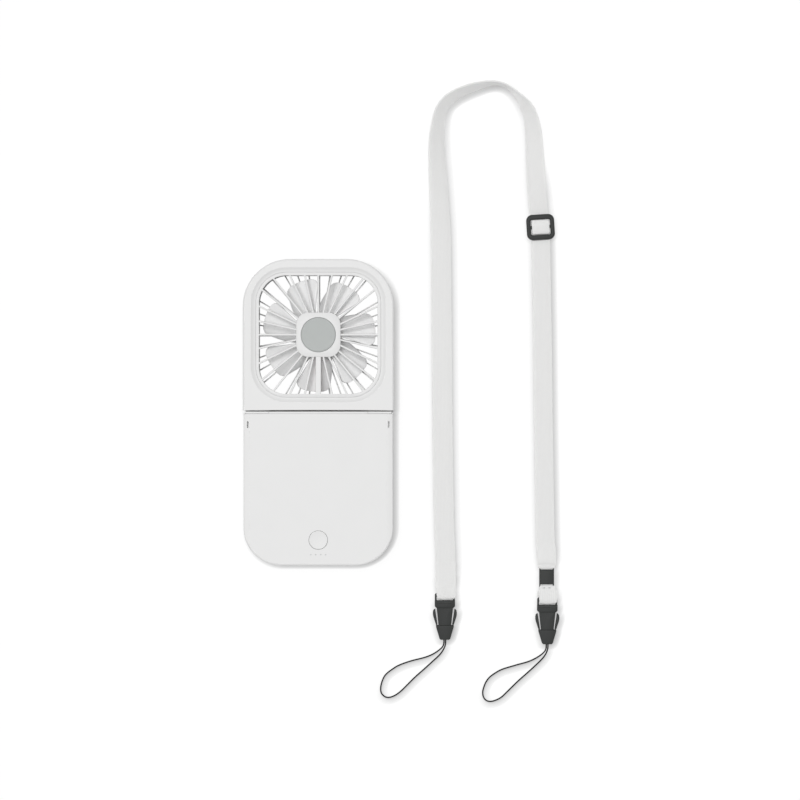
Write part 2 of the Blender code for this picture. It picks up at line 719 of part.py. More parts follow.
def led_places():
    return [LED_PITCH * (i - (LED_COUNT - 1) / 2) for i in range(LED_COUNT)]


def make_power_parts():
    """The battery, the board, the charging socket and what is soldered to the board."""
    near, far = -CELL_FROM_SEAM, -CELL_FROM_SEAM - CELL_LENGTH
    pad_low = WALL + FIT
    cell_low = pad_low + PAD_THICKNESS + FIT
    cell_high = cell_low + CELL_THICKNESS
    pad_y = (near + far) / 2
    finish(block("battery_pad", (-PAD_WIDTH / 2, pad_y - PAD_LENGTH / 2, pad_low),
                 (PAD_WIDTH / 2, pad_y + PAD_LENGTH / 2, pad_low + PAD_THICKNESS)), BLACK_FOAM)
    cell = block("battery_cell", (-CELL_WIDTH / 2, far, cell_low), (CELL_WIDTH / 2, near, cell_high))
    rounding = cell.modifiers.new("rounding", "BEVEL")
    rounding.width = 0.12 * CELL_THICKNESS
    rounding.segments = 2
    finish(cell, SILVER_CELL)
    low = board_bottom()
    high = low + BOARD_THICKNESS
    edge = board_far()
    finish(block("main_board", (-BOARD_WIDTH / 2, edge, low),
                 (BOARD_WIDTH / 2, edge + BOARD_LENGTH, high)), GREEN_BOARD)
    shell = rounded_box(USB_WIDTH, USB_HEIGHT, USB_HEIGHT / 2 - FIT)
    bore = rounded_box(USB_WIDTH - 2 * USB_SKIN, USB_HEIGHT - 2 * USB_SKIN, USB_HEIGHT / 2 - FIT - USB_SKIN)
    stand = Matrix.Translation((0, 0, SPLIT_HEIGHT)) @ Matrix.Rotation(math.pi / 2, 4, "X")
    mouth_y = BODY_LENGTH - FIT
    socket = flat_piece("usb_c_socket", [shell], mouth_y - USB_DEPTH, mouth_y)
    socket.matrix_world = stand
    hollow = flat_piece("usb_hollow", [bore], mouth_y - USB_DEPTH + USB_BACK, mouth_y + USB_BACK)
    hollow.matrix_world = stand
    half, thick = USB_TONGUE_WIDTH / 2, USB_TONGUE_THICKNESS / 2
    tongue = block("usb_tongue", (-half, -mouth_y + USB_TONGUE_THICKNESS, SPLIT_HEIGHT - thick),
                   (half, -mouth_y + USB_DEPTH - USB_BACK / 2, SPLIT_HEIGHT + thick))
    cut(socket, hollow)
    join(socket, tongue)
    finish(socket, STEEL)
    make_battery_leads(far - FIT, (cell_low + cell_high) / 2, edge + BOARD_LENGTH, high)


def make_battery_leads(cell_end, middle, board_end, board_top):
    """Two wires that leave the cell's end, bend up and lie on the board."""
    bend = LEAD_WIRE_BEND
    top = board_top + LEAD_WIRE_RADIUS + FIT
    out = arc((cell_end, middle + bend), bend, 270, 180, 3)
    over = arc((cell_end - 2 * bend, top - bend), bend, 0, 90, 3)
    line = out + over + [(board_end - 3 * LEAD_WIRE_RADIUS, top)]
    names = ("battery_lead_positive", "battery_lead_negative")
    for name, x, look in zip(names, LEAD_WIRE_X, (LEAD_RED, LEAD_BLACK)):
        finish(tube(name, [(x, y, z) for y, z in line], LEAD_WIRE_RADIUS, 1), look)


def tube(name, points, radius, resolution):
    """A round wire or cord through the points, as a mesh with closed ends."""
    data = bpy.data.curves.new(name, "CURVE")
    data.dimensions = "3D"
    data.bevel_depth = radius
    data.bevel_resolution = resolution
    data.use_fill_caps = True
    spline = data.splines.new("POLY")
    spline.points.add(len(points) - 1)
    for point, place in zip(spline.points, points):
        point.co = (*place, 1)
    curve = bpy.data.objects.new(name, data)
    FAN.objects.link(curve)
    return curve


def make_button_parts():
    """The power button, the tact switch under it, and the indicator lights."""
    board_top = board_bottom() + BOARD_THICKNESS
    switch_low = board_top + FIT
    switch_high = switch_low + SWITCH_HEIGHT
    half = SWITCH_SIZE / 2
    housing = block("switch_housing", (-half, BUTTON_Y - half, switch_low),
                    (half, BUTTON_Y + half, switch_high))
    cut(housing, rod("plunger_bore", PLUNGER_RADIUS + FIT, (0, BUTTON_Y, switch_low + 3 * FIT),
                     (0, BUTTON_Y, switch_high + WALL), 20))
    finish(housing, LEAD_BLACK)
    plunger_top = switch_high + PLUNGER_STAND
    plunger = rod("switch_plunger", PLUNGER_RADIUS, (0, BUTTON_Y, plunger_top - PLUNGER_HEIGHT),
                  (0, BUTTON_Y, plunger_top), 20)
    finish(plunger, BRASS)
    flange_top = THICKNESS - WALL - FIT
    flange_low = flange_top - BUTTON_FLANGE_THICKNESS
    rim = BUTTON_RADIUS + BUTTON_FLANGE
    profile = [
        (0, THICKNESS), (BUTTON_RADIUS - BUTTON_EDGE, THICKNESS), (BUTTON_RADIUS, THICKNESS - BUTTON_EDGE),
        (BUTTON_RADIUS, flange_top), (rim, flange_top), (rim, flange_low), (STEM_RADIUS, flange_low),
        (STEM_RADIUS, plunger_top + FIT), (0, plunger_top + FIT),
    ]
    button = turned("power_button", profile, (0, BUTTON_Y, 0), 32)
    finish(button, WHITE_SHELL)
    carry(joint_empty("button_travel", (0, BUTTON_Y, THICKNESS)), button, plunger)
    reach = LED_PITCH * (LED_COUNT - 1) / 2 + LIGHT_BAR_WIDTH
    guide = block("led_light_guide", (-reach, LED_Y - LIGHT_BAR_WIDTH / 2, flange_top - LIGHT_BAR_HEIGHT),
                  (reach, LED_Y + LIGHT_BAR_WIDTH / 2, flange_top))
    for i, x in enumerate(led_places()):
        pin = rod(f"light_pin_{i}", LED_RADIUS, (x, LED_Y, flange_top - LIGHT_BAR_HEIGHT / 2),
                  (x, LED_Y, THICKNESS - LIGHT_FIT), 10)
        join(guide, pin)
        lamp = block(
            f"indicator_led_{i + 1}", (x - LED_LENGTH / 2, LED_Y - LED_WIDTH / 2, board_top + FIT),
            (x + LED_LENGTH / 2, LED_Y + LED_WIDTH / 2, board_top + FIT + LED_WIDTH),
        )
        finish(lamp, CLEAR_GUIDE)
    finish(guide, CLEAR_GUIDE)


def make_hinge_pin():
    pin = barrel("hinge_pin", PIN_RADIUS, -BARREL_REACH + FIT, BARREL_REACH - FIT, 12)
    finish(pin, STEEL)


# Head of the fan

def make_head_frames():
    outline = case_outline(HEAD_WIDTH, HEAD_LENGTH, HEAD_CORNER, 1)
    inside = case_outline(HEAD_WIDTH, HEAD_LENGTH, HEAD_CORNER, 1, WALL)
    duct = air_outline(DUCT_WALL)
    front = case_block("head_front_frame", outline, SPLIT_HEIGHT + FIT / 2, THICKNESS, THICKNESS)
    rear = case_block("head_rear_frame", outline, 0, SPLIT_HEIGHT - FIT / 2, 0)
    cut(front, flat_piece("front_ring_cavity", [inside, duct], SPLIT_HEIGHT - WALL, THICKNESS - WALL))
    cut(rear, flat_piece("rear_ring_cavity", [inside, duct], WALL, SPLIT_HEIGHT + WALL))
    add_front_bosses(front, HEAD_SCREWS, HEAD_BOSS_RADIUS, HEAD_SCREW_RADIUS)
    add_rear_bosses(rear, HEAD_SCREWS, HEAD_BOSS_RADIUS, HEAD_SCREW_RADIUS, HEAD_SCREW_HEAD,
                    HEAD_SCREW_SHELF)
    through = flat_piece("air_way", [air_outline(0)], -WALL, THICKNESS + WALL)
    cut(front, through)
    cut(rear, through)
    seat = air_outline(INSERT_MARGIN + FIT)
    cut(front, front_seat_cutter("front_seat"))
    cut(rear, flat_piece("rear_seat", [seat], -WALL, REAR_GRILLE_DROP + RIM_DEPTH + FIT))
    channel = lead_channel("frame_channel", AIR_CENTRE - OPENING_SIZE / 2 - DUCT_WALL - FIT)
    cut(front, channel)
    add_knuckles(front, 1)
    finish(front, WHITE_SHELL)
    finish(rear, WHITE_SHELL)


def front_seat_cutter(name):
    """The front grille's seat, and above it a shallow dish that widens to the front face."""
    margin = INSERT_MARGIN + FIT
    levels = [
        (THICKNESS - DISH_DEPTH - RIM_DEPTH - FIT, margin), (THICKNESS - DISH_DEPTH, margin),
        (THICKNESS + DISH_DEPTH, margin + 2 * DISH_MARGIN),
    ]
    bm = bmesh.new()
    rings = []
    for height, widening in levels:
        rings.append([bm.verts.new((x, y, height)) for x, y in air_outline(widening)])
    bm.faces.new(rings[0])
    bm.faces.new(rings[-1])
    count = len(rings[0])
    for low, high in zip(rings, rings[1:]):
        for i in range(count):
            j = (i + 1) % count
            bm.faces.new((low[i], low[j], high[j], high[i]))
    return object_of(name, bm)


def spoke_edge(angle, offset, size, corner):
    """Where the side of a spoke meets a rounded square round the air centre."""
    direction = Vector((math.cos(angle), math.sin(angle)))
    normal = Vector((-direction.y, direction.x))
    half, inner = size / 2, size / 2 - corner
    low, high = 0.0, size
    for _ in range(40):
        middle = (low + high) / 2
        point = direction * middle + normal * offset
        x, y = abs(point.x), abs(point.y)
        if x > inner and y > inner:
            outside = math.hypot(x - inner, y - inner) > corner
        else:
            outside = max(x, y) > half
        low, high = (low, middle) if outside else (middle, high)
    return direction * low + normal * offset


def between(first, second, size, corner, steps):
    """Points on a rounded square between two of its points, counter-clockwise."""
    start, end = math.atan2(first.y, first.x), math.atan2(second.y, second.x)
    if end < start:
        end += 2 * math.pi
    return [spoke_edge(start + (end - start) * i / steps, 0, size, corner) for i in range(1, steps)]


def grille_gaps(count, phase, width, hub_size, hub_corner, wide_angle=None, wide_width=0.0):
    """The gaps between the spokes, each an outline between the hub and the rim."""
    gaps = []
    for i in range(count):
        here, there = phase + i * 360 / count, phase + (i + 1) * 360 / count
        sides = []
        for angle in (here, there):
            wide = wide_angle is not None and abs((angle - wide_angle) % 360) < 1e-6
            sides.append((math.radians(angle), (wide_width if wide else width) / 2))
        (a, a_half), (b, b_half) = sides
        outer = (OPENING_SIZE, OPENING_CORNER)
        inner = (hub_size, hub_corner)
        rim_a, rim_b = spoke_edge(a, a_half, *outer), spoke_edge(b, -b_half, *outer)
        hub_a, hub_b = spoke_edge(a, a_half, *inner), spoke_edge(b, -b_half, *inner)
        points = [hub_a, rim_a] + between(rim_a, rim_b, *outer, 3) + [rim_b, hub_b]
        points += list(reversed(between(hub_a, hub_b, *inner, 2)))
        gaps.append([(point.x, point.y + AIR_CENTRE) for point in points])
    return gaps


def lead_channel(name, far):
    """The groove behind the thick spoke, from the motor board out to a place along Y."""
    half = LEAD_CHANNEL_WIDTH / 2
    hub_low = THICKNESS - HUB_TOP_DROP - HUB_DEPTH
    return block(name, (-half, far, hub_low - FIT),
                 (half, AIR_CENTRE - HUB_SIZE * 0.38, hub_low + LEAD_CHANNEL_DEPTH))


def make_front_grille():
    rim_top = THICKNESS - DISH_DEPTH
    hub_top = THICKNESS - HUB_TOP_DROP
    hub_low = hub_top - HUB_DEPTH
    gaps = grille_gaps(FRONT_SPOKES, LEAD_SPOKE_ANGLE, FRONT_SPOKE_WIDTH, HUB_SIZE - 2 * FIT,
                       HUB_CORNER - FIT, LEAD_SPOKE_ANGLE, LEAD_SPOKE_WIDTH)
    grille = flat_piece("front_grille", [air_outline(INSERT_MARGIN)] + gaps, rim_top - RIM_DEPTH, rim_top)
    hub_outline = rounded_box(HUB_SIZE, HUB_SIZE, HUB_CORNER, (0, AIR_CENTRE))
    join(grille, flat_piece("front_hub", [hub_outline], hub_low, hub_top))
    spoke_far = AIR_CENTRE - OPENING_SIZE / 2 + FIT
    half = LEAD_SPOKE_WIDTH / 2 - FIT / 3
    duct = block("lead_spoke", (-half, spoke_far, rim_top - LEAD_SPOKE_DEPTH),
                 (half, AIR_CENTRE - HUB_SIZE * 0.42, rim_top - RIM_DEPTH / 2))
    join(grille, duct)
    centre = (0, AIR_CENTRE)
    cut(grille, rod("badge_recess", BADGE_RADIUS + FIT, (*centre, hub_top - BADGE_THICKNESS - FIT),
                    (*centre, hub_top + WALL), 40))
    floor = hub_top - BADGE_THICKNESS - FIT - HUB_FLOOR
    cut(grille, rod("motor_recess", CAN_RADIUS + FIT, (*centre, hub_low - WALL), (*centre, floor), 40))
    cut(grille, lead_channel("grille_channel", spoke_far - WALL))
    finish(grille, WHITE_SHELL)
    badge = turned("hub_badge", [
        (0, hub_top), (BADGE_RADIUS - BADGE_EDGE, hub_top), (BADGE_RADIUS, hub_top - BADGE_EDGE),
        (BADGE_RADIUS, hub_top - BADGE_THICKNESS), (0, hub_top - BADGE_THICKNESS),
    ], (*centre, 0), 40)
    finish(badge, GREY_BADGE)
    return [grille, badge]


def make_rear_grille():
    gaps = grille_gaps(REAR_SPOKES, 0, REAR_SPOKE_WIDTH, HUB_SIZE, HUB_CORNER)
    grille = flat_piece("rear_grille", [air_outline(INSERT_MARGIN)] + gaps,
                        REAR_GRILLE_DROP, REAR_GRILLE_DROP + RIM_DEPTH)
    finish(grille, WHITE_SHELL)
    return [grille]


def motor_levels():
    """Heights of the motor's pieces, worked down from the front hub's floor and up from the impeller's."""
    hub_top = THICKNESS - HUB_TOP_DROP
    floor = hub_top - BADGE_THICKNESS - FIT - HUB_FLOOR
    board_high = floor - FIT
    board_low = board_high - MOTOR_BOARD_THICKNESS
    can_low = IMPELLER_HUB_BOTTOM + IMPELLER_HUB_WALL + FIT
    can_high = board_low - 4 * FIT
    return floor, board_high, board_low, can_low, can_high


def make_motor():
    """The fixed half of the motor under the front hub, and the rotor that turns round it."""
    floor, board_high, board_low, can_low, can_high = motor_levels()
    centre = (0, AIR_CENTRE, 0)
    board_hole = BUSHING_RADIUS + FIT
    board = turned("motor_board", [
        (CAN_RADIUS, board_high), (CAN_RADIUS, board_low), (board_hole, board_low),
        (board_hole, board_high),
    ], centre, 32)
    finish(board, GREEN_BOARD)
    bore = SHAFT_RADIUS + FIT
    bushing_low = can_low + CAN_WALL + 2 * FIT
    bushing = turned("shaft_bushing", [
        (BUSHING_RADIUS, floor - FIT), (BUSHING_RADIUS, bushing_low), (bore, bushing_low),
        (bore, floor - FIT),
    ], centre, 20)
    finish(bushing, BRASS)
    magnet_outer = CAN_RADIUS - CAN_WALL - FIT
    magnet_inner = magnet_outer - MAGNET_THICKNESS
    stator_high = board_low - 2 * FIT
    stator_low = stator_high - STATOR_HEIGHT
    stator = flat_piece("motor_stator", stator_outlines(magnet_inner - STATOR_GAP), stator_low, stator_high)
    finish(stator, COPPER)
    can = turned("motor_can", [
        (CAN_RADIUS, can_high), (CAN_RADIUS, can_low), (bore, can_low), (bore, can_low + CAN_WALL),
        (CAN_RADIUS - CAN_WALL, can_low + CAN_WALL), (CAN_RADIUS - CAN_WALL, can_high),
    ], centre, 32)
    finish(can, STEEL)
    magnet_low = stator_low - 2 * FIT
    magnet = turned("magnet_ring", [
        (magnet_outer, can_high - FIT), (magnet_outer, magnet_low), (magnet_inner, magnet_low),
        (magnet_inner, can_high - FIT),
    ], centre, 32)
    finish(magnet, MAGNET)
    shaft = rod("rotor_shaft", SHAFT_RADIUS, (0, AIR_CENTRE, can_low), (0, AIR_CENTRE, floor - 2 * FIT), 20)
    finish(shaft, STEEL)
    hub_low = THICKNESS - HUB_TOP_DROP - HUB_DEPTH
    lead_low = hub_low + FIT
    lead_far = AIR_CENTRE - OPENING_SIZE / 2 - DUCT_WALL - 4 * FIT
    leads = block(
        "motor_leads", (-MOTOR_LEAD_WIDTH / 2, lead_far, lead_low),
        (MOTOR_LEAD_WIDTH / 2, AIR_CENTRE - CAN_RADIUS - FIT, lead_low + MOTOR_LEAD_THICKNESS),
    )
    finish(leads, LEAD_RED)
    return [board, bushing, stator, leads], [can, magnet, shaft]


def stator_outlines(radius):
    """The wound core seen from the front: a tooth every few degrees, wide at its tip, and the bore."""
    outline = []
    step = 360 / STATOR_TEETH
    for i in range(STATOR_TEETH):
        for part, reach in ((-0.22, 0.50), (-0.24, 0.86), (-0.40, 0.90), (-0.38, 1.0), (0, 1.0),
                            (0.38, 1.0), (0.40, 0.90), (0.24, 0.86), (0.22, 0.50)):
            angle = math.radians((i + part) * step)
            out = radius * reach
            outline.append((out * math.cos(angle), AIR_CENTRE + out * math.sin(angle)))
    bore = arc((0, AIR_CENTRE), BUSHING_RADIUS + FIT, 0, 360 - 18, 19)
    return [outline, bore]


def blade_surface(bm, index):
    """One blade as an open sheet, from the hub to its round-cornered tip."""
    across, along = 4, 4
    root = IMPELLER_HUB_RADIUS - IMPELLER_HUB_WALL / 2
    grid = []
    for i in range(along + 1):
        outward = i / along
        lean = BLADE_LEAN_ROOT * (1 - outward) ** 1.5
        span = BLADE_SPAN_TIP + (BLADE_SPAN_ROOT - BLADE_SPAN_TIP) * (1 - outward) ** 1.3
        row = []
        for j in range(across + 1):
            part = j / across
            tip = BLADE_TIP_RADIUS - BLADE_TIP_ROUNDING * abs(2 * part - 1) ** 4
            radius = root + (tip - root) * outward
            angle = math.radians(BLADE_PHASE + index * 360 / BLADES + lean + (span - lean) * part)
            height = BLADE_TOP - BLADE_DROP * part
            row.append(bm.verts.new((radius * math.cos(angle), radius * math.sin(angle), height)))
        grid.append(row)
    for low, high in zip(grid, grid[1:]):
        for j in range(across):
            bm.faces.new((low[j], high[j], high[j + 1], low[j + 1]))


def make_impeller():
    floor = IMPELLER_HUB_BOTTOM + IMPELLER_HUB_WALL
    inner = IMPELLER_HUB_RADIUS - IMPELLER_HUB_WALL
    top = motor_levels()[4]
    impeller = turned("impeller", [
        (IMPELLER_HUB_RADIUS, top), (IMPELLER_HUB_RADIUS, IMPELLER_HUB_BOTTOM + IMPELLER_HUB_EDGE),
        (IMPELLER_HUB_RADIUS - IMPELLER_HUB_EDGE, IMPELLER_HUB_BOTTOM),
        (SHAFT_RADIUS + FIT, IMPELLER_HUB_BOTTOM),
        (SHAFT_RADIUS + FIT, floor), (inner, floor), (inner, top),
    ], (0, AIR_CENTRE, 0), 28)
    bm = bmesh.new()
    for i in range(BLADES):
        blade_surface(bm, i)
    blades = object_of("impeller_blades", bm)
    blades.location = (0, AIR_CENTRE, 0)
    skin = blades.modifiers.new("thickness", "SOLIDIFY")
    skin.thickness = BLADE_THICKNESS
    skin.offset = 0
    join(impeller, blades)
    finish(impeller, WHITE_BLADE)
    return impeller


def make_head():
    hinge = joint_empty("head_hinge", (0, 0, AXIS_HEIGHT))
    axle = joint_empty("rotor_axle", (0, AIR_CENTRE, THICKNESS / 2), hinge)
    make_head_frames()
    fixed, turning = make_motor()
    fixed += make_front_grille() + make_rear_grille()
    fixed += [bpy.data.objects[name] for name in ("head_front_frame", "head_rear_frame")]
    shelf = HEAD_SCREW_SHELF
    fixed += make_screws("head_screw", HEAD_SCREWS, HEAD_SCREW_RADIUS, HEAD_SCREW_HEAD, shelf, SCREW_LENGTH)
    turning.append(make_impeller())
    carry(hinge, *fixed)
    carry(axle, *turning)


# Lanyard

def spline_points(points, step):
    """A smooth curve through the points, read at even steps."""
    points = [Vector(point) for point in points]
    ends = [2 * points[0] - points[1]] + points + [2 * points[-1] - points[-2]]
    fine = []
    for i in range(1, len(ends) - 2):
        before, here, there, after = ends[i - 1:i + 3]
        for k in range(16):
            t = k / 16
            fine.append(0.5 * (
                2 * here + (there - before) * t + (2 * before - 5 * here + 4 * there - after) * t * t
                + (3 * here - before - 3 * there + after) * t ** 3
            ))
    fine.append(points[-1])
    lengths = [0.0]
    for first, second in zip(fine, fine[1:]):
        lengths.append(lengths[-1] + (second.xy - first.xy).length)
    count = max(2, round(lengths[-1] / step))
    read, at = [], 0
    for i in range(count + 1):
        target = lengths[-1] * i / count
        while at < len(fine) - 2 and lengths[at + 1] < target:
            at += 1
        part = (target - lengths[at]) / max(lengths[at + 1] - lengths[at], 1e-9)
        read.append(fine[at].lerp(fine[at + 1], min(1, part)))
    return read


def ribbon(name, stations, closed=False):
    """A flat strap through stations, each a centre, the direction across it and its width."""
    bm = bmesh.new()
    rows = []
    for centre, across, width in stations:
        rows.append([bm.verts.new(centre - across * width / 2), bm.verts.new(centre + across * width / 2)])
    following = rows[1:] + rows[:1] if closed else rows[1:]
    for low, high in zip(rows, following):
        bm.faces.new((low[0], low[1], high[1], high[0]))
    strap = object_of(name, bm)
    skin = strap.modifiers.new("thickness", "SOLIDIFY")
    skin.thickness = STRAP_THICKNESS
    skin.offset = 0
    return strap


def fold_stations(x, outermost, side, width, upwards, facing=1):
    """A half turn round a bar, up or down, its outermost face at a place along Y."""
    centre_y = outermost - side * (FOLD_RADIUS + STRAP_THICKNESS / 2)
    stations = []
    for i in range(7):
        angle = math.radians(-90 + 180 * i / 6) if upwards else math.radians(90 - 180 * i / 6)
        y = centre_y + side * FOLD_RADIUS * math.cos(angle)
        z = PLATE_HEIGHT + FOLD_RADIUS * math.sin(angle)
        stations.append((Vector((x, y, z)), Vector((facing, 0, 0)), width))
    return stations


def flat_stations(x, start, steps, facing=1):
    """Stations of a run along Y, each at a distance from its start, a height and with a width.

    The strap's first edge is on its left, or facing -1, on its right.
    """
    across = Vector((facing, 0, 0))
    return [(Vector((x, start + distance, height)), across, width) for distance, height, width in steps]


def leg_stations():
    """The strap's long run over the neck, with its roll."""
    stations = []
    points = spline_points([(x, y, roll * 1e-3) for x, y, roll in STRAP_ROUTE], 0.0058)
    for i, point in enumerate(points):
        before, after = points[max(0, i - 1)], points[min(len(points) - 1, i + 1)]
        along = (after - before).xy.normalized()
        roll = math.radians(point.z * 1e3)
        inward = Vector((along.y, -along.x, 0))
        across = inward * math.cos(roll) - Vector((0, 0, 1)) * math.sin(roll)
        progress = i / (len(points) - 1)
        turn = min(1, max(0, (progress - 0.45) / 0.2))
        width = STRAP_WIDTH + (DOUBLED_WIDTH - STRAP_WIDTH) * turn
        lift = width / 2 * abs(math.sin(roll)) + STRAP_THICKNESS / 2 * abs(math.cos(roll))
        stations.append((Vector((point.x, point.y, LIE + lift)), across, width))
    return stations


def make_neck_strap():
    """One strip: a stitched tail under the left buckle's fold, over the neck, round the link, back up."""
    x, y = LEFT_BUCKLE
    fold_y = y + BUCKLE_FLANGE + BUCKLE_SLOT / 2 - STRAP_THICKNESS / 2
    left = flat_stations(x, fold_y, LEFT_TAIL) + fold_stations(x, fold_y, -1, BUCKLE_FOLD_WIDTH, True)
    left += flat_stations(x, fold_y, LEFT_RISE)
    neck = leg_stations()
    link = flat_stations(LINK_X, LINK_TOP_FOLD, LINK_GATHER, -1)
    link += fold_stations(LINK_X, LINK_TOP_FOLD, -1, LINK_FOLD_WIDTH, True, -1)
    link += flat_stations(LINK_X, LINK_TOP_FOLD, LINK_SPREAD, -1)
    back = []
    for centre, across, width in reversed(neck):
        in_doubled_run = centre.y < SLIDER_CENTRE[1] and centre.x > LINK_X - STRAP_WIDTH
        if in_doubled_run and centre.y > LINK_TOP_FOLD + BACK_RUN_START:
            back.append((Vector((centre.x, centre.y, HIGH_LAYER)), across, width))
    finish(ribbon("neck_strap", left + neck + link + back), WHITE_WEBBING)


def make_short_loop():
    """A closed band from the link's lower bar to the right buckle's bar."""
    x, y = RIGHT_BUCKLE
    low_fold = y + BUCKLE_FLANGE + BUCKLE_SLOT / 2 - STRAP_THICKNESS / 2
    top = fold_stations(LINK_X, LINK_BOTTOM_FOLD, 1, LINK_FOLD_WIDTH, True)
    bottom = fold_stations(x, low_fold, -1, BUCKLE_FOLD_WIDTH, False)
    centre_y = (LINK_BOTTOM_FOLD + low_fold) / 2
    over = [(side * LOOP_FLAT / 2, OVER_BAR, DOUBLED_WIDTH) for side in (1, -1)]
    under = [(side * LOOP_FLAT / 2, LOW_LAYER, DOUBLED_WIDTH) for side in (-1, 1)]
    middle = (LINK_X + x) / 2
    stations = top + flat_stations(middle, centre_y, over) + bottom
    stations += flat_stations(middle, centre_y, under)
    finish(ribbon("short_strap_loop", stations, closed=True), WHITE_WEBBING)


def make_link():
    """A flat plate with a slot near each end."""
    top = LINK_TOP_FOLD + STRAP_THICKNESS / 2 + LINK_SLOT / 2 + LINK_BAR
    bottom = LINK_BOTTOM_FOLD - STRAP_THICKNESS / 2 - LINK_SLOT / 2 - LINK_BAR
    low, high = PLATE_HEIGHT - PLATE_THICKNESS / 2, PLATE_HEIGHT + PLATE_THICKNESS / 2
    outline = rounded_box(LINK_WIDTH, top - bottom, LINK_CORNER, (LINK_X, (top + bottom) / 2), 3)
    slots = []
    for slot_y in (top - LINK_BAR - LINK_SLOT / 2, bottom + LINK_BAR + LINK_SLOT / 2):
        centre = (LINK_X, slot_y)
        slots.append(rounded_box(LINK_WIDTH - 2 * LINK_RAIL, LINK_SLOT, SLOT_CORNER, centre, 2))
    link = flat_piece("strap_link", [outline] + slots, low, high)
    middle_top = top - LINK_BAR - LINK_SLOT
    middle_bottom = bottom + LINK_BAR + LINK_SLOT
    half, thick = LINK_WIDTH / 2 - LINK_STEP, LINK_MIDDLE_THICKNESS / 2
    middle = block("link_middle", (LINK_X - half, middle_bottom + LINK_STEP, PLATE_HEIGHT - thick),
                   (LINK_X + half, middle_top - LINK_STEP, PLATE_HEIGHT + thick))
    join(link, middle)
    finish(link, DARK_PLASTIC)


def make_slider():
    """A flat frame with a centre bar over the strap's two layers, and the strap's end loop on the bar."""
    x, y = SLIDER_CENTRE
    low = HIGH_LAYER + STRAP_THICKNESS / 2 + LAYER_GAP
    high = low + SLIDER_THICKNESS
    turn = Matrix.Translation((x, y, 0)) @ Matrix.Rotation(math.radians(SLIDER_TILT), 4, "Z")
    outer = rounded_box(SLIDER_WIDTH, SLIDER_LENGTH, SLIDER_CORNER, steps=5)
    window_length = SLIDER_LENGTH - 2 * SLIDER_BAR
    window = rounded_box(SLIDER_WIDTH - 2 * SLIDER_RAIL, window_length, SLIDER_CORNER / 3, steps=3)
    frame = flat_piece("strap_slider", [outer, window], low, high)
    frame.matrix_world = turn
    rounding = frame.modifiers.new("rounding", "BEVEL")
    rounding.width = SLIDER_THICKNESS * 0.2
    rounding.segments = 2
    rounding.angle_limit = math.radians(50)
    bar_low = high - CENTRE_BAR_THICKNESS
    bar = block("slider_bar", (-SLIDER_WIDTH / 2 + SLIDER_RAIL / 2, -CENTRE_BAR_WIDTH / 2, bar_low),
                (SLIDER_WIDTH / 2 - SLIDER_RAIL / 2, CENTRE_BAR_WIDTH / 2, high - CENTRE_BAR_DROP))
    bar.matrix_world = turn
    join(frame, bar)
    finish(frame, DARK_PLASTIC)
    inner_low, inner_high = bar_low - LAYER_GAP, high + LAYER_GAP
    outer_height = inner_high - inner_low + 2 * STRAP_THICKNESS
    centre_height = (inner_low + inner_high) / 2
    rim = rounded_box(2 * END_LOOP_REACH, outer_height, outer_height * 0.42, steps=5)
    hole = rounded_box(2 * (END_LOOP_REACH - STRAP_THICKNESS), inner_high - inner_low,
                       (inner_high - inner_low) * 0.4, steps=4)
    half = END_LOOP_WIDTH / 2
    band = flat_piece("strap_end_loop", [rim, hole], -half, half)
    stand = Matrix(((0, 0, 1, 0), (1, 0, 0, 0), (0, 1, 0, centre_height), (0, 0, 0, 1)))
    band.matrix_world = turn @ stand
    finish(band, WHITE_WEBBING)
    carry(joint_empty("slider_travel", (x, y, low)), frame, band)


def buckle_outline(points, place):
    """The right half of an outline, from top to bottom, mirrored and put in its place."""
    left = [(-px, py) for px, py in reversed(points) if px > 0]
    return [(place[0] + px, place[1] + py) for px, py in points + left]


def make_buckle_plug(name, place):
    """The strap's half of a buckle: a slotted frame, a thick flange and a tapered tongue."""
    x, y = place
    half = BUCKLE_WIDTH / 2
    top = BUCKLE_FLANGE + BUCKLE_SLOT + BUCKLE_BAR
    low, high = PLATE_HEIGHT - PLATE_THICKNESS / 2, PLATE_HEIGHT + PLATE_THICKNESS / 2
    frame_low = BUCKLE_FLANGE / 2
    outline = [
        (x - half, y + frame_low), (x + half, y + frame_low), (x + half, y + top), (x - half, y + top),
    ]
    slot = rounded_box(BUCKLE_WIDTH - 2 * BUCKLE_RAIL, BUCKLE_SLOT, SLOT_CORNER,
                       (x, y + BUCKLE_FLANGE + BUCKLE_SLOT / 2), 2)
    plug = flat_piece(name, [outline, slot], low, high)
    flange_outline = buckle_outline([
        (half + LINK_STEP / 2, BUCKLE_FLANGE - LINK_STEP / 2), (half + LINK_STEP / 2, BUCKLE_CHAMFER),
        (half - BUCKLE_CHAMFER, 0),
    ], place)
    flange = flat_piece(name + "_flange", [flange_outline], 0, BUCKLE_THICKNESS)
    for side, height in (("lower", 0), ("upper", BUCKLE_THICKNESS)):
        groove = block(
            f"{name}_{side}_groove",
            (x - BUCKLE_WIDTH, y + BUCKLE_GROOVE_AT - BUCKLE_GROOVE / 2, height - BUCKLE_GROOVE),
            (x + BUCKLE_WIDTH, y + BUCKLE_GROOVE_AT + BUCKLE_GROOVE / 2, height + BUCKLE_GROOVE),
        )
        cut(flange, groove)
    join(plug, flange)
    tongue_low = BUCKLE_THICKNESS / 2 - TONGUE_THICKNESS / 2
    tongue = flat_piece(name + "_tongue", [buckle_outline([
        (TONGUE_ROOT / 2, BUCKLE_CHAMFER), (TONGUE_MOUTH / 2, SOCKET_TOP), (TONGUE_END / 2, -TONGUE_LENGTH),
    ], place)], tongue_low, tongue_low + TONGUE_THICKNESS)
    join(plug, tongue)
    finish(plug, DARK_PLASTIC)
    return plug


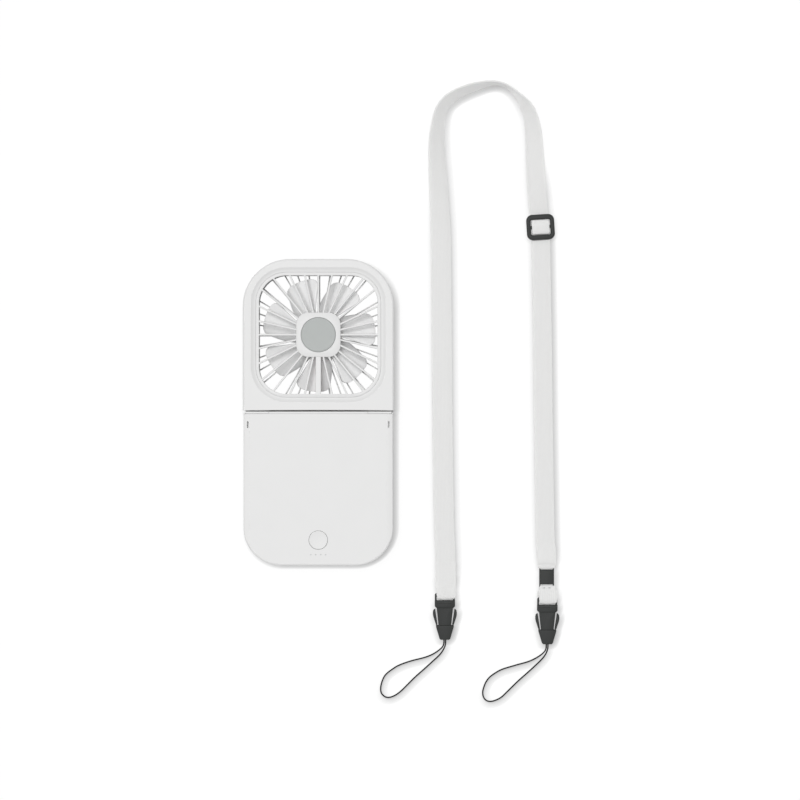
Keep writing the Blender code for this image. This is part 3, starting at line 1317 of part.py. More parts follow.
def make_buckle_socket(name, place):
    """The cord's half of a buckle: a tapered sleeve, open for the tongue and for the cord."""
    length = SOCKET_TOP - SOCKET_BOTTOM
    outline = buckle_outline([
        (SOCKET_TOP_WIDTH / 2, SOCKET_TOP), (SOCKET_BOTTOM_WIDTH / 2, SOCKET_BOTTOM + BUCKLE_CHAMFER),
        (SOCKET_BOTTOM_WIDTH / 2 - BUCKLE_CHAMFER, SOCKET_BOTTOM),
    ], place)
    socket = flat_piece(name, [outline], 0, BUCKLE_THICKNESS)
    taper = (TONGUE_MOUTH - TONGUE_END) / (TONGUE_LENGTH + SOCKET_TOP)
    mouth = TONGUE_MOUTH / 2 + FIT
    floor = -TONGUE_LENGTH - FIT
    slack = TONGUE_THICKNESS / 2 + FIT
    hollow = flat_piece(name + "_hollow", [buckle_outline([
        (mouth + taper * WALL / 2, SOCKET_TOP + WALL), (TONGUE_END / 2 + FIT, floor),
    ], place)], BUCKLE_THICKNESS / 2 - slack, BUCKLE_THICKNESS / 2 + slack)
    x, y = place
    middle, half_height = BUCKLE_THICKNESS / 2, CORD_HOLE_HEIGHT / 2
    hole = block(
        name + "_cord_hole", (x - CORD_HOLE_WIDTH / 2, y + SOCKET_BOTTOM - length, middle - half_height),
        (x + CORD_HOLE_WIDTH / 2, y + floor + length / 4, middle + half_height),
    )
    cut(socket, hollow, hole)
    finish(socket, DARK_PLASTIC)
    return socket


def make_buckle_arm(name, place, side):
    """A springy squeeze arm beside the tongue, rooted on the sleeve."""
    low = (BUCKLE_THICKNESS - ARM_THICKNESS) / 2
    outline = [(place[0] + side * px, place[1] + py) for px, py in ARM_OUTLINE]
    arm = flat_piece(name, [outline], low, low + ARM_THICKNESS)
    finish(arm, DARK_PLASTIC)
    return arm


def make_cord(name, route, exit_height):
    """A thin cord that leaves the buckle, comes down to the surface and returns."""
    rest = CORD_DIAMETER / 2 + LIE
    points = spline_points([(px, py, 0) for px, py in route], CORD_STEP)
    for i, point in enumerate(points):
        travelled = min(i, len(points) - 1 - i) * CORD_STEP
        part = min(1, travelled / CORD_DROP_REACH)
        ease = part * part * (3 - 2 * part)
        point.z = exit_height + (rest - exit_height) * ease
    cord = tube(name, points, CORD_DIAMETER / 2, 2)
    finish(cord, BLACK_CORD)
    return cord


def make_buckle(side_name, place, route):
    plug = make_buckle_plug(side_name + "_buckle_plug", place)
    socket = make_buckle_socket(side_name + "_buckle_socket", place)
    cord = make_cord(side_name + "_cord_loop", route, BUCKLE_THICKNESS / 2)
    release = joint_empty(side_name + "_buckle_release", (place[0], place[1] + SOCKET_TOP, 0))
    carry(release, socket, cord)
    for side, word in ((-1, "left"), (1, "right")):
        arm = make_buckle_arm(f"{side_name}_buckle_{word}_arm", place, side)
        root = (place[0] + side * ARM_PIVOT_X, place[1] + ARM_OUTLINE[6][1], 0)
        carry(joint_empty(f"{arm.name}_root", root, release), arm)
    return plug


def main():
    make_body_shells()
    make_screws("body_screw", BODY_SCREWS, SCREW_RADIUS, SCREW_HEAD_RADIUS, SCREW_SHELF, SCREW_LENGTH)
    make_power_parts()
    make_button_parts()
    make_hinge_pin()
    make_head()
    make_neck_strap()
    make_short_loop()
    make_link()
    make_slider()
    make_buckle("left", LEFT_BUCKLE, LEFT_CORD_ROUTE)
    make_buckle("right", RIGHT_BUCKLE, RIGHT_CORD_ROUTE)


main()
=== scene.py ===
import json
import math

import bmesh
import bpy
from bpy.props import FloatProperty, FloatVectorProperty, IntProperty, PointerProperty
from mathutils import Matrix, Vector


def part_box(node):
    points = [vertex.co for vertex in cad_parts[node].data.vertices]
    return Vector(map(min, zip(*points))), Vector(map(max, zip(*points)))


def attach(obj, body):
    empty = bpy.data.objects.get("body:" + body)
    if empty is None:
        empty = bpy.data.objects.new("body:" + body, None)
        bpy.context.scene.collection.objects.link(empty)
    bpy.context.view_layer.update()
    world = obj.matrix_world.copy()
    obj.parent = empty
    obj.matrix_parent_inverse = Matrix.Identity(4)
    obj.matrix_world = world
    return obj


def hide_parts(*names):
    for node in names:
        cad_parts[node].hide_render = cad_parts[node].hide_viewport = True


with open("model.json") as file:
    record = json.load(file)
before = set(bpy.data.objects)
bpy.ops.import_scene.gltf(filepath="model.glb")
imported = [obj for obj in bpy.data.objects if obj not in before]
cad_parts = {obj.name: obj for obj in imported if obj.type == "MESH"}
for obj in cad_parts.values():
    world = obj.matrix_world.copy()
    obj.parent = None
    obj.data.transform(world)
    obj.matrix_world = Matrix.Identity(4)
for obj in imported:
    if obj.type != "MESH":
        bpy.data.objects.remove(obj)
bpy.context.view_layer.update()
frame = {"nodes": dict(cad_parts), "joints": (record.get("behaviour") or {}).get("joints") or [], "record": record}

bl_info = {
    "name": "Folding Pocket Fan",
    "version": (1, 0, 0),
    "blender": (4, 5, 0),
    "location": "3D View > Sidebar > Pocket Fan",
    "description": "Dresses the frame of a folding pocket fan and its neck lanyard",
    "category": "Add Mesh",
}

MM = 0.001

# Places that the frame gives
HEAD_LOW, HEAD_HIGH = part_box("head_front_frame")
BODY_LOW, BODY_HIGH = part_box("body_front_shell")
REAR_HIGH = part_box("head_rear_frame")[1]
GRILLE_LOW, GRILLE_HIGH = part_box("front_grille")
REAR_GRILLE_LOW, REAR_GRILLE_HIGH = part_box("rear_grille")
BADGE_LOW, BADGE_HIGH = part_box("hub_badge")
IMPELLER_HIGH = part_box("impeller")[1]
BUTTON_LOW, BUTTON_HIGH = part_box("power_button")
SLIDER_LOW, SLIDER_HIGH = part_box("strap_slider")
LINK_LOW, LINK_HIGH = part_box("strap_link")
FRONT = HEAD_HIGH.z
SPLIT = (HEAD_LOW.z + REAR_HIGH.z) / 2
AIR_CENTRE = (GRILLE_LOW.y + GRILLE_HIGH.y) / 2
JOINTS = {joint["name"]: joint for joint in frame["joints"]}
FOLD_AXIS_HEIGHT = JOINTS["head_fold"]["pos_m"][2]

# Clearances, walls, depths and radii
FIT = 0.3 * MM
WALL = 1.8 * MM
SEAM_GAP = 0.6 * MM
RIM_DROP = 0.8 * MM
SEAT_MARGIN = 0.95 * MM
RIM_MARGIN = 0.92 * MM
REAR_RIM_MARGIN = 0.65 * MM
MOTOR_ROOM = 9.0 * MM
SCREW_HEAD = 1.0 * MM
BUTTON_RADIUS = 4.6 * MM

# Lanyard heights: the strap's two layers and its way over a plate's bar
STRAP_THICKNESS = 0.8 * MM
STRAP_WIDTH = 10.1 * MM
DOUBLED_WIDTH = 9.3 * MM
LOW_LAYER = 0.45 * MM
HIGH_LAYER = 1.55 * MM
OVER_BAR = 2.75 * MM
PLATE_HEIGHT = 1.6 * MM
PLATE_HALF = 0.45 * MM
BUCKLE_THICKNESS = 4.0 * MM
FOLD_RADIUS = 1.15 * MM
LIE = 0.05 * MM

# Places on the lanyard. A buckle's centre is at its flange's lower edge, and a fold is the outermost
# place along Y of a strap's turn round a bar.
LEFT_BUCKLE = Vector((0.0620, -0.0968))
RIGHT_BUCKLE = Vector((0.1127, -0.0990))
SLIDER_CENTRE = Vector((0.1093, 0.0915))
SLIDER_TURN = math.radians(3.5)
LINK_X = 0.1124
LINK_TOP_FOLD = -0.0775
LINK_BOTTOM_FOLD = -0.0857
LEFT_FOLD = LEFT_BUCKLE.y + 4.1 * MM
RIGHT_FOLD = RIGHT_BUCKLE.y + 4.1 * MM

# The strap's centre line from the left buckle round the neck arch to the link: X, Y, roll in degrees
STRAP_ROUTE = [
    (0.0623, -0.0700, 0), (0.0616, -0.0535, 0), (0.0610, -0.0140, 0), (0.0606, 0.0256, 0),
    (0.0603, 0.0656, 0), (0.0600, 0.0874, 6), (0.0593, 0.1022, 14), (0.0585, 0.1166, 24),
    (0.0579, 0.1284, 34), (0.0580, 0.1373, 43), (0.0587, 0.1438, 50), (0.0599, 0.1486, 55),
    (0.0622, 0.1528, 60), (0.0663, 0.1562, 64), (0.0713, 0.1587, 68), (0.0765, 0.1606, 72),
    (0.0823, 0.1621, 80), (0.0871, 0.1625, 86), (0.0913, 0.1616, 88), (0.0951, 0.1592, 86),
    (0.0986, 0.1556, 75), (0.1016, 0.1519, 60), (0.1037, 0.1484, 52), (0.1048, 0.1443, 45),
    (0.1057, 0.1393, 37), (0.1064, 0.1314, 27), (0.1071, 0.1176, 14), (0.1082, 0.1020, 0),
    (0.1093, 0.0915, 0), (0.1099, 0.0651, 0), (0.1104, 0.0355, 0), (0.1107, 0.0058, 0),
    (0.1112, -0.0288, 0), (0.1117, -0.0585, 0), (0.1121, -0.0705, 0),
]

# The thin cords, from one strand's end at the buckle round the loop to the other's
LEFT_CORD_ROUTE = [
    (0.0616, -0.1122), (0.0614, -0.1150), (0.0602, -0.1170), (0.0567, -0.1196), (0.0523, -0.1215),
    (0.0450, -0.1234), (0.0392, -0.1255), (0.0359, -0.1275), (0.0334, -0.1294), (0.0318, -0.1314),
    (0.0306, -0.1345), (0.0302, -0.1374), (0.0307, -0.1395), (0.0324, -0.1411), (0.0345, -0.1414),
    (0.0373, -0.1404), (0.0401, -0.1384), (0.0432, -0.1354), (0.0472, -0.1314), (0.0516, -0.1275),
    (0.0560, -0.1235), (0.0596, -0.1201), (0.0615, -0.1172), (0.0623, -0.1150), (0.0624, -0.1122),
]
RIGHT_CORD_ROUTE = [
    (0.1122, -0.1144), (0.1121, -0.1170), (0.1112, -0.1188), (0.1085, -0.1211), (0.1038, -0.1235),
    (0.0969, -0.1255), (0.0904, -0.1275), (0.0869, -0.1294), (0.0842, -0.1314), (0.0824, -0.1338),
    (0.0813, -0.1365), (0.0808, -0.1388), (0.0812, -0.1413), (0.0827, -0.1430), (0.0848, -0.1434),
    (0.0872, -0.1428), (0.0900, -0.1413), (0.0932, -0.1383), (0.0982, -0.1334), (0.1026, -0.1295),
    (0.1070, -0.1255), (0.1104, -0.1221), (0.1122, -0.1194), (0.1130, -0.1168), (0.1130, -0.1144),
]


def metres(name, description, default, precision=2):
    """A length given in metres."""
    return FloatProperty(
        name=name, description=description, default=default, precision=precision, unit="LENGTH",
        subtype="DISTANCE",
    )


def size(name, description, millimetres):
    """A small length given in millimetres."""
    return metres(name, description, millimetres * MM, precision=5)


def tilt(name, description, degrees):
    """An angle given in degrees."""
    return FloatProperty(
        name=name, description=description, default=math.radians(degrees), unit="ROTATION", subtype="ANGLE",
    )


def ratio(name, description, default):
    return FloatProperty(
        name=name, description=description, default=default, min=0, max=1, subtype="FACTOR",
    )


def number(name, description, default):
    return IntProperty(name=name, description=description, default=default, min=1)


def tint(name, description, default):
    return FloatVectorProperty(
        name=name, description=description, default=default, size=3, min=0, max=1, subtype="COLOR",
    )


class CaseSettings(bpy.types.PropertyGroup):
    """Sizes and colours of the fan's case"""
    edge_rounding: size("Edge rounding", "Radius of the case's outer edges", 1.0)
    side_fall: size("Side fall", "How much lower the handle's front face is at its long sides", 0.35)
    side_reach: size("Side reach", "Width of the handle's sloping sides", 3.6)
    head_corner: size("Head corner", "Corner radius of the head, seen from the front", 22.9)
    body_corner: size("Body corner", "Corner radius of the handle, seen from the front", 18.3)
    parting_chamfer: size("Parting chamfer", "Chamfer where the front and rear shells meet", 0.2)
    seam_edge: size("Seam edge", "Distance from the fold line to the head's front edge at its ends", 0.92)
    seam_bow: size("Seam bow", "How much wider the seam's gap is in the middle", 0.20)
    body_edge: size("Handle edge", "Distance from the fold line to the handle's front edge", 0.65)
    knuckle_near: size("Knuckle, head's side", "How far a hinge knuckle reaches towards the head", 0.32)
    knuckle_far: size("Knuckle, handle's side", "How far a hinge knuckle reaches towards the handle", 0.61)
    shell_colour: tint("Shell", "Colour of the white case", (0.672, 0.672, 0.670))


class AirSettings(bpy.types.PropertyGroup):
    """Sizes and colours of the grilles and the impeller"""
    opening: size("Opening", "Width of the square air opening", 59.2)
    opening_corner: size("Opening corner", "Corner radius of the air opening", 14.0)
    dish_width: size("Dish width", "Width of the shallow dish round the front grille", 2.2)
    hub: size("Hub", "Width of the front grille's square hub", 21.8)
    hub_corner: size("Hub corner", "Corner radius of the hub", 6.0)
    rim: size("Grille rim", "How far the front grille's rim reaches into the air opening", 0.75)
    spokes: number("Front spokes", "Number of spokes in the front grille", 28)
    spoke: size("Front spoke", "Width of a front spoke", 0.9)
    lead_spoke: size("Lead spoke", "Width of the spoke that covers the motor's leads", 2.6)
    rear_spokes: number("Rear spokes", "Number of spokes in the rear grille", 36)
    rear_spoke: size("Rear spoke", "Width of a rear spoke", 0.65)
    blades: number("Blades", "Number of impeller blades", 7)
    blade_reach: size("Blade reach", "Radius of the blades' tips", 27.8)
    # The impeller's white is set lighter than the shell's: painted light that makes up for the shade inside the
    # air opening.
    blade_colour_and_painted_light: tint("Blades", "Colour of the impeller", (0.81, 0.81, 0.81))
    badge_colour: tint("Badge", "Colour of the disc on the hub", (0.335, 0.352, 0.344))


class LanyardSettings(bpy.types.PropertyGroup):
    """Sizes and colours of the lanyard"""
    cord: size("Cord", "Diameter of the thin cord loops", 0.7)
    row: size("Weave row", "Length of one row of the webbing's weave", 0.55)
    column: size("Weave column", "Width of one column of the webbing's weave", 0.62)
    edge: size("Plastic edge", "Rounding of the buckles' edges", 0.3)
    webbing_colour: tint("Webbing", "Colour of the strap", (0.765, 0.765, 0.76))
    plastic_colour: tint("Buckles", "Colour of the buckles, the slider and the link", (0.032, 0.034, 0.033))
    cord_colour: tint("Cord", "Colour of the thin cords", (0.014, 0.014, 0.014))


class StageSettings(bpy.types.PropertyGroup):
    """The camera, the lights and the floor"""
    camera_x: metres("Camera X", "The camera's place to the right", 0.0398)
    camera_y: metres("Camera Y", "The camera's place along the fan", 0.0060)
    camera_height: metres("Camera height", "The camera's height over the floor", 1.2)
    lens: FloatProperty(
        name="Lens", description="The camera's focal length in millimetres", default=108.9, unit="CAMERA",
    )
    key: ratio("Key light", "Brightness that the lamp gives a white card", 0.75)
    key_tilt: tilt("Key tilt", "How far the lamp leans to the left and to the top", 5.5)
    key_spread: tilt("Key spread", "How wide the lamp looks from the fan", 22)
    sky: ratio("Room light", "Brightness that the room gives a white card", 0.40)
    shadow: ratio("Shadow", "How much of the lamp's own shadow the floor shows", 0.12)
    contact: ratio("Contact shadow", "How dark the shadow is where a piece lies down", 0.86)
    contact_reach: size("Contact reach", "How far the contact shadow reaches from a piece", 3.3)


SETTINGS = {
    "fan_case": CaseSettings, "fan_air": AirSettings, "fan_lanyard": LanyardSettings,
    "fan_stage": StageSettings,
}


def before_other(operation):
    """The method for a sign of arithmetic with the shader value on its left."""
    return lambda term, other: term.math(operation, term, other)


def after_other(operation):
    """The method for a sign of arithmetic with the shader value on its right."""
    return lambda term, other: term.math(operation, other, term)


def alone(operation):
    """The method for a step that takes the shader value alone."""
    return lambda term: term.math(operation, term)


class Term:
    """A shader value that takes part in plain arithmetic, each step adding its Math node."""

    def __init__(self, finish, socket):
        self.finish = finish
        self.socket = socket

    def math(self, operation, *values):
        return self.finish.node("ShaderNodeMath", {"operation": operation}, dict(enumerate(values)))

    __add__, __radd__ = before_other("ADD"), after_other("ADD")
    __sub__, __rsub__ = before_other("SUBTRACT"), after_other("SUBTRACT")
    __mul__, __rmul__ = before_other("MULTIPLY"), after_other("MULTIPLY")
    __truediv__ = before_other("DIVIDE")
    __pow__ = before_other("POWER")
    __mod__ = before_other("MODULO")
    __abs__, sine, floor = alone("ABSOLUTE"), alone("SINE"), alone("FLOOR")


class Finish:
    """A material in the making: its shader, and one way to add any other node."""

    def __init__(self, name, constants=None):
        self.material = bpy.data.materials.new(name)
        self.material.use_nodes = True
        self.tree = self.material.node_tree
        self.shader = self.tree.nodes["Principled BSDF"]
        for socket, value in (constants or {}).items():
            self.shader.inputs[socket].default_value = value

    def node(self, kind, settings=None, inputs=None, output=0):
        """Adds a node and returns one of its outputs."""
        made = self.tree.nodes.new(kind)
        for name, value in (settings or {}).items():
            setattr(made, name, value)
        for name, value in (inputs or {}).items():
            self.feed(made.inputs[name], value)
        return Term(self, made.outputs[output])

    def feed(self, socket, value):
        """Links a shader value to the socket, or sets a plain one."""
        if isinstance(value, Term):
            self.tree.links.new(value.socket, socket)
        else:
            socket.default_value = value

    def noise(self, place, grain, detail=2):
        return self.node("ShaderNodeTexNoise", inputs={"Vector": place, "Scale": 1 / grain, "Detail": detail})

    def part(self, vector, axis):
        """One axis of a vector."""
        return self.node("ShaderNodeSeparateXYZ", inputs={0: vector}, output=axis)

    def colour(self, factor, first, second):
        mixed = self.node(
            "ShaderNodeMix", {"data_type": "RGBA"}, {0: factor, 6: (*first, 1), 7: (*second, 1)}, 2,
        )
        self.feed(self.shader.inputs["Base Color"], mixed)

    def relief(self, height, depth, strength=0.6):
        bump = self.node(
            "ShaderNodeBump", inputs={"Height": height, "Distance": depth, "Strength": strength},
        )
        self.feed(self.shader.inputs["Normal"], bump)


def shade(colour, factor):
    return [channel * factor for channel in colour]


def grained(name, colour, roughness, grain, depth, constants=None, mottling=0.03):
    """A plain-coloured finish with slow mottling and a fine grain that also breaks up its gloss."""
    made = Finish(name, constants)
    place = made.node("ShaderNodeTexCoord", output="Object")
    cloud = made.noise(place, 14 * MM)
    fine = made.noise(place, grain)
    made.colour(cloud, shade(colour, 1 - mottling), colour)
    made.feed(made.shader.inputs["Roughness"], roughness + (fine - 0.5) * 0.16)
    made.relief(fine, depth)
    return made.material


def woven_webbing(name, colour):
    """Flat polyester webbing: columns of warp yarn in alternate rows, read from the strap's own map."""
    lanyard = bpy.context.scene.fan_lanyard
    made = Finish(name, {
        "Sheen Weight": 0.6, "Sheen Roughness": 0.5, "Specular IOR Level": 0.25,
        "Subsurface Weight": 0.6, "Subsurface Radius": (1, 1, 1), "Subsurface Scale": MM,
    })
    weave = made.node("ShaderNodeUVMap", {"uv_map": "weave"})
    column = made.part(weave, "X") * MM / lanyard.column
    row = made.part(weave, "Y") * MM / lanyard.row + (column.floor() % 2) * 0.5
    yarn = abs((column * math.pi).sine()) ** 0.5
    float_over = abs((row * math.pi).sine())
    place = made.node("ShaderNodeTexCoord", output="Object")
    fibre = made.noise(place, 0.12 * MM, 3)
    height = yarn * float_over * 0.8 + fibre * 0.2
    # The weave's low places between the yarns take a darker white: painted shade in the weave.
    made.colour(height, shade(colour, 0.86), colour)
    made.feed(made.shader.inputs["Roughness"], 0.72 + height * 0.15)
    made.relief(height, 0.1 * MM)
    return made.material


def braided_cord(name, colour):
    """Crossing strands round a thin cord, read from its own map of turns and millimetres."""
    made = Finish(name, {"Specular IOR Level": 0.15})
    braid = made.node("ShaderNodeUVMap", {"uv_map": "weave"})
    turns = made.part(braid, "X") * 4
    along = made.part(braid, "Y") / 0.9
    left = ((turns + along) * math.tau).sine()
    right = ((turns - along) * math.tau).sine()
    height = left * right * 0.5 + 0.5
    # The braid's low places take a darker black and the strands' crowns a lighter one: painted shade in the
    # grooves and a painted highlight on the strands.
    made.colour(height, shade(colour, 0.6), shade(colour, 1.3))
    made.feed(made.shader.inputs["Roughness"], 0.6 + height * 0.2)
    made.relief(height, 0.08 * MM)
    return made.material


def spun_disc(name, colour):
    """A satin disc with fine rings round the fan's axle."""
    made = Finish(name, {"Specular IOR Level": 0.4})
    place = made.node("ShaderNodeTexCoord", output="Object")
    centred = made.node(
        "ShaderNodeVectorMath", {"operation": "SUBTRACT"}, {0: place, 1: (0, AIR_CENTRE, BADGE_HIGH.z)},
    )
    radius = made.node("ShaderNodeVectorMath", {"operation": "LENGTH"}, {0: centred}, "Value")
    rings = (radius * (math.tau / (0.16 * MM))).sine() * 0.5 + 0.5
    cloud = made.noise(place, 4 * MM)
    made.colour(cloud, shade(colour, 0.97), colour)
    made.feed(made.shader.inputs["Roughness"], 0.42 + rings * 0.1)
    made.relief(rings, 0.004 * MM)
    return made.material


def circuit_board(name, colour):
    """Lacquered board with lighter copper runs under the lacquer."""
    made = Finish(name, {"Coat Weight": 0.3})
    place = made.node("ShaderNodeTexCoord", output="Object")
    runs = made.node(
        "ShaderNodeTexBrick", {"offset": 0.5},
        {"Vector": place, "Scale": 1 / (4 * MM), "Mortar Size": 0.05}, "Fac",
    )
    made.colour(runs, colour, shade(colour, 1.9))
    made.feed(made.shader.inputs["Roughness"], 0.45 - runs * 0.1)
    made.relief(runs, 0.03 * MM)
    return made.material


def plain(colour, roughness, grain, depth, constants=None):
    """The recipe of a finish whose colour isn't among the settings. Grain and depth are in millimetres."""
    return lambda name: grained(name, colour, roughness, grain * MM, depth * MM, constants)


METAL = {"Metallic": 1.0}
SATIN = {"Specular IOR Level": 0.3}
MATT = {"Specular IOR Level": 0.2}
FINISHES = {
    "white_shell": lambda name: grained(
        name, bpy.context.scene.fan_case.shell_colour, 0.50, 0.22 * MM, 0.012 * MM, SATIN),
    "white_blade": lambda name: grained(
        name, bpy.context.scene.fan_air.blade_colour_and_painted_light, 0.45, 0.35 * MM, 0.008 * MM, SATIN),
    "grey_badge": lambda name: spun_disc(name, bpy.context.scene.fan_air.badge_colour),
    "white_webbing": lambda name: woven_webbing(name, bpy.context.scene.fan_lanyard.webbing_colour),
    "dark_plastic": lambda name: grained(
        name, bpy.context.scene.fan_lanyard.plastic_colour, 0.58, 0.18 * MM, 0.015 * MM, MATT, mottling=0.12),
    "grey_thread": plain((0.36, 0.36, 0.36), 0.80, 0.10, 0.02, MATT),
    "black_cord": lambda name: braided_cord(name, bpy.context.scene.fan_lanyard.cord_colour),
    "steel": plain((0.60, 0.60, 0.61), 0.30, 0.12, 0.004, METAL),
    "copper": plain((0.72, 0.36, 0.18), 0.35, 0.20, 0.05, METAL),
    "bushing_brass": plain((0.75, 0.58, 0.28), 0.35, 0.10, 0.004, METAL),
    "magnet": plain((0.10, 0.10, 0.11), 0.60, 0.15, 0.02),
    "green_board": lambda name: circuit_board(name, (0.03, 0.20, 0.09)),
    "cell_foil": plain((0.62, 0.63, 0.65), 0.32, 1.5, 0.06, METAL),
    "black_foam": plain((0.05, 0.05, 0.05), 0.90, 0.30, 0.10),
    "clear_guide": plain((0.42, 0.43, 0.43), 0.40, 0.10, 0.003),
    "black_moulding": plain((0.02, 0.02, 0.02), 0.50, 0.15, 0.01),
    "red_wire": plain((0.55, 0.04, 0.03), 0.45, 0.20, 0.01),
    "black_wire": plain((0.02, 0.02, 0.02), 0.45, 0.20, 0.01),
}


def finish_of(slot):
    """The slot's material, made when it is first needed."""
    name = slot + "_finish"
    return bpy.data.materials.get(name) or FINISHES[slot](name)


def seat(piece, body, slot, *nodes, finish=None):
    """Gives a piece its finish and its body, and says which nodes it stands for."""
    piece.data.materials.clear()
    piece.data.materials.append(finish_of(finish or slot))
    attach(piece, body)
    if nodes:
        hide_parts(*nodes)
    return piece


def object_of(name, bm, sharp=35):
    """A smooth-shaded mesh object from the bmesh."""
    bmesh.ops.recalc_face_normals(bm, faces=bm.faces)
    mesh = bpy.data.meshes.new(name)
    bm.to_mesh(mesh)
    bm.free()
    soften(mesh, sharp)
    piece = bpy.data.objects.new(name, mesh)
    bpy.context.scene.collection.objects.link(piece)
    return piece


def soften(mesh, sharp=35):
    """Smooth shading, with sharp edges from an angle on."""
    mesh.shade_smooth()
    mesh.set_sharp_from_angle(angle=math.radians(sharp))


def evaluated(piece):
    """A new mesh with the piece's modifiers, or a curve's fill, worked in."""
    bpy.context.view_layer.update()
    graph = bpy.context.evaluated_depsgraph_get()
    return bpy.data.meshes.new_from_object(piece.evaluated_get(graph))


def applied(piece):
    """Applies the piece's modifiers to its mesh."""
    mesh, old = evaluated(piece), piece.data
    piece.modifiers.clear()
    piece.data = mesh
    bpy.data.meshes.remove(old)
    return piece


def flatten(piece):
    """Makes the shading follow a piece's large faces, so that flat ones look flat."""
    weighted = piece.modifiers.new("shading", "WEIGHTED_NORMAL")
    weighted.mode = "FACE_AREA"
    weighted.keep_sharp = True
    weighted.weight = 90
    applied(piece)


def shaped(piece, tools, operation="DIFFERENCE"):
    """Cuts the tools from the piece, or joins them to it, and removes them."""
    for tool in tools:
        modifier = piece.modifiers.new("shape", "BOOLEAN")
        modifier.operation = operation
        modifier.object = tool
    soften(applied(piece).data)
    for tool in tools:
        bpy.data.objects.remove(tool, do_unlink=True)
    return piece


def arc(centre, radius, start, end, steps):
    """Points on a round stretch, from one angle in degrees to another."""
    angles = [math.radians(start + (end - start) * i / steps) for i in range(steps + 1)]
    return [(centre[0] + radius * math.cos(a), centre[1] + radius * math.sin(a)) for a in angles]


def circle(centre, radius, sides):
    return arc(centre, radius, 0, 360 * (sides - 1) / sides, sides - 1)


def smooth(part):
    """A share from 0 to 1 with a gentle start and end."""
    part = min(1, max(0, part))
    return part * part * (3 - 2 * part)


def rounded_box(width, length, corner, centre=(0, 0), steps=10):
    """The outline of a rectangle with round corners."""
    x, y = width / 2 - corner, length / 2 - corner
    outline = []
    for sign_x, sign_y, start in ((1, 1, 0), (-1, 1, 90), (-1, -1, 180), (1, -1, 270)):
        middle = (centre[0] + sign_x * x, centre[1] + sign_y * y)
        outline += arc(middle, corner, start, start + 90, steps)
    return outline


def air_outline(margin, steps=16):
    """The air opening's outline, widened by a margin all round."""
    air = bpy.context.scene.fan_air
    width = air.opening + 2 * margin
    return rounded_box(width, width, air.opening_corner + margin, (0, AIR_CENTRE), steps)


def loft(name, rings, closed=False, sharp=35):
    """A closed mesh through rings with the same number of points, or a closed hoop of them."""
    bm = bmesh.new()
    grid = [[bm.verts.new(point) for point in ring] for ring in rings]
    following = grid[1:] + grid[:1] if closed else grid[1:]
    for low, high in zip(grid, following):
        for i in range(len(low)):
            j = (i + 1) % len(low)
            bm.faces.new((low[i], low[j], high[j], high[i]))
    if not closed:
        bm.faces.new(grid[0])
        bm.faces.new(grid[-1])
    return object_of(name, bm, sharp)


def air_loft(name, levels):
    """A piece shaped like the air opening, with a margin at each height."""
    return loft(name, [[(x, y, z) for x, y in air_outline(margin)] for z, margin in levels])


def plate(name, outlines, bottom, top, edge=0.0, turn=None):
    """A flat piece between two heights with rounded edges. Outlines after the first are its holes."""
    data = bpy.data.curves.new(name, "CURVE")
    data.dimensions = "2D"
    data.fill_mode = "BOTH"
    data.extrude = (top - bottom) / 2 - edge
    data.bevel_depth = edge
    data.bevel_resolution = 1
    data.offset = -edge
    for outline in outlines:
        spline = data.splines.new("POLY")
        spline.points.add(len(outline) - 1)
        for point, (x, y) in zip(spline.points, outline):
            point.co = (x, y, 0, 1)
        spline.use_cyclic_u = True
    curve = bpy.data.objects.new(name, data)
    bpy.context.scene.collection.objects.link(curve)
    mesh = evaluated(curve)
    bpy.data.objects.remove(curve, do_unlink=True)
    mesh.transform((turn or Matrix()) @ Matrix.Translation((0, 0, (bottom + top) / 2)))
    bm = bmesh.new()
    bm.from_mesh(mesh)
    bpy.data.meshes.remove(mesh)
    bmesh.ops.remove_doubles(bm, verts=bm.verts, dist=1e-7)
    return object_of(name, bm)


def turned(name, profile, centre, steps=64):
    """A piece turned about a vertical axis, from radius and height pairs, both ends on the axis."""
    bm = bmesh.new()
    rings = []
    for radius, height in profile:
        if radius == 0:
            rings.append([bm.verts.new((centre[0], centre[1], height))])
            continue
        rings.append([bm.verts.new((x, y, height)) for x, y in circle(centre, radius, steps)])
    for low, high in zip(rings, rings[1:]):
        for i in range(steps):
            j = (i + 1) % steps
            corners = [low[i % len(low)], low[j % len(low)], high[j % len(high)], high[i % len(high)]]
            bm.faces.new(list(dict.fromkeys(corners)))
    return object_of(name, bm)


def rod(name, radius, start, end, sides=32):
    """A round bar from one point to another."""
    start, end = Vector(start), Vector(end)
    along = end - start
    turn = Vector((0, 0, 1)).rotation_difference(along).to_matrix().to_4x4()
    bm = bmesh.new()
    bmesh.ops.create_cone(
        bm, cap_ends=True, segments=sides, radius1=radius, radius2=radius, depth=along.length,
        matrix=Matrix.Translation((start + end) / 2) @ turn,
    )
    return object_of(name, bm)


def post(name, radius, centre, bottom, top, sides=32):
    """An upright round bar."""
    return rod(name, radius, (*centre, bottom), (*centre, top), sides)


def block(name, low, high):
    """A box between two corners."""
    low, high = Vector(low), Vector(high)
    bm = bmesh.new()
    bmesh.ops.create_cube(
        bm, size=1, matrix=Matrix.Translation((low + high) / 2) @ Matrix.Diagonal((*(high - low), 1)),
    )
    return object_of(name, bm)


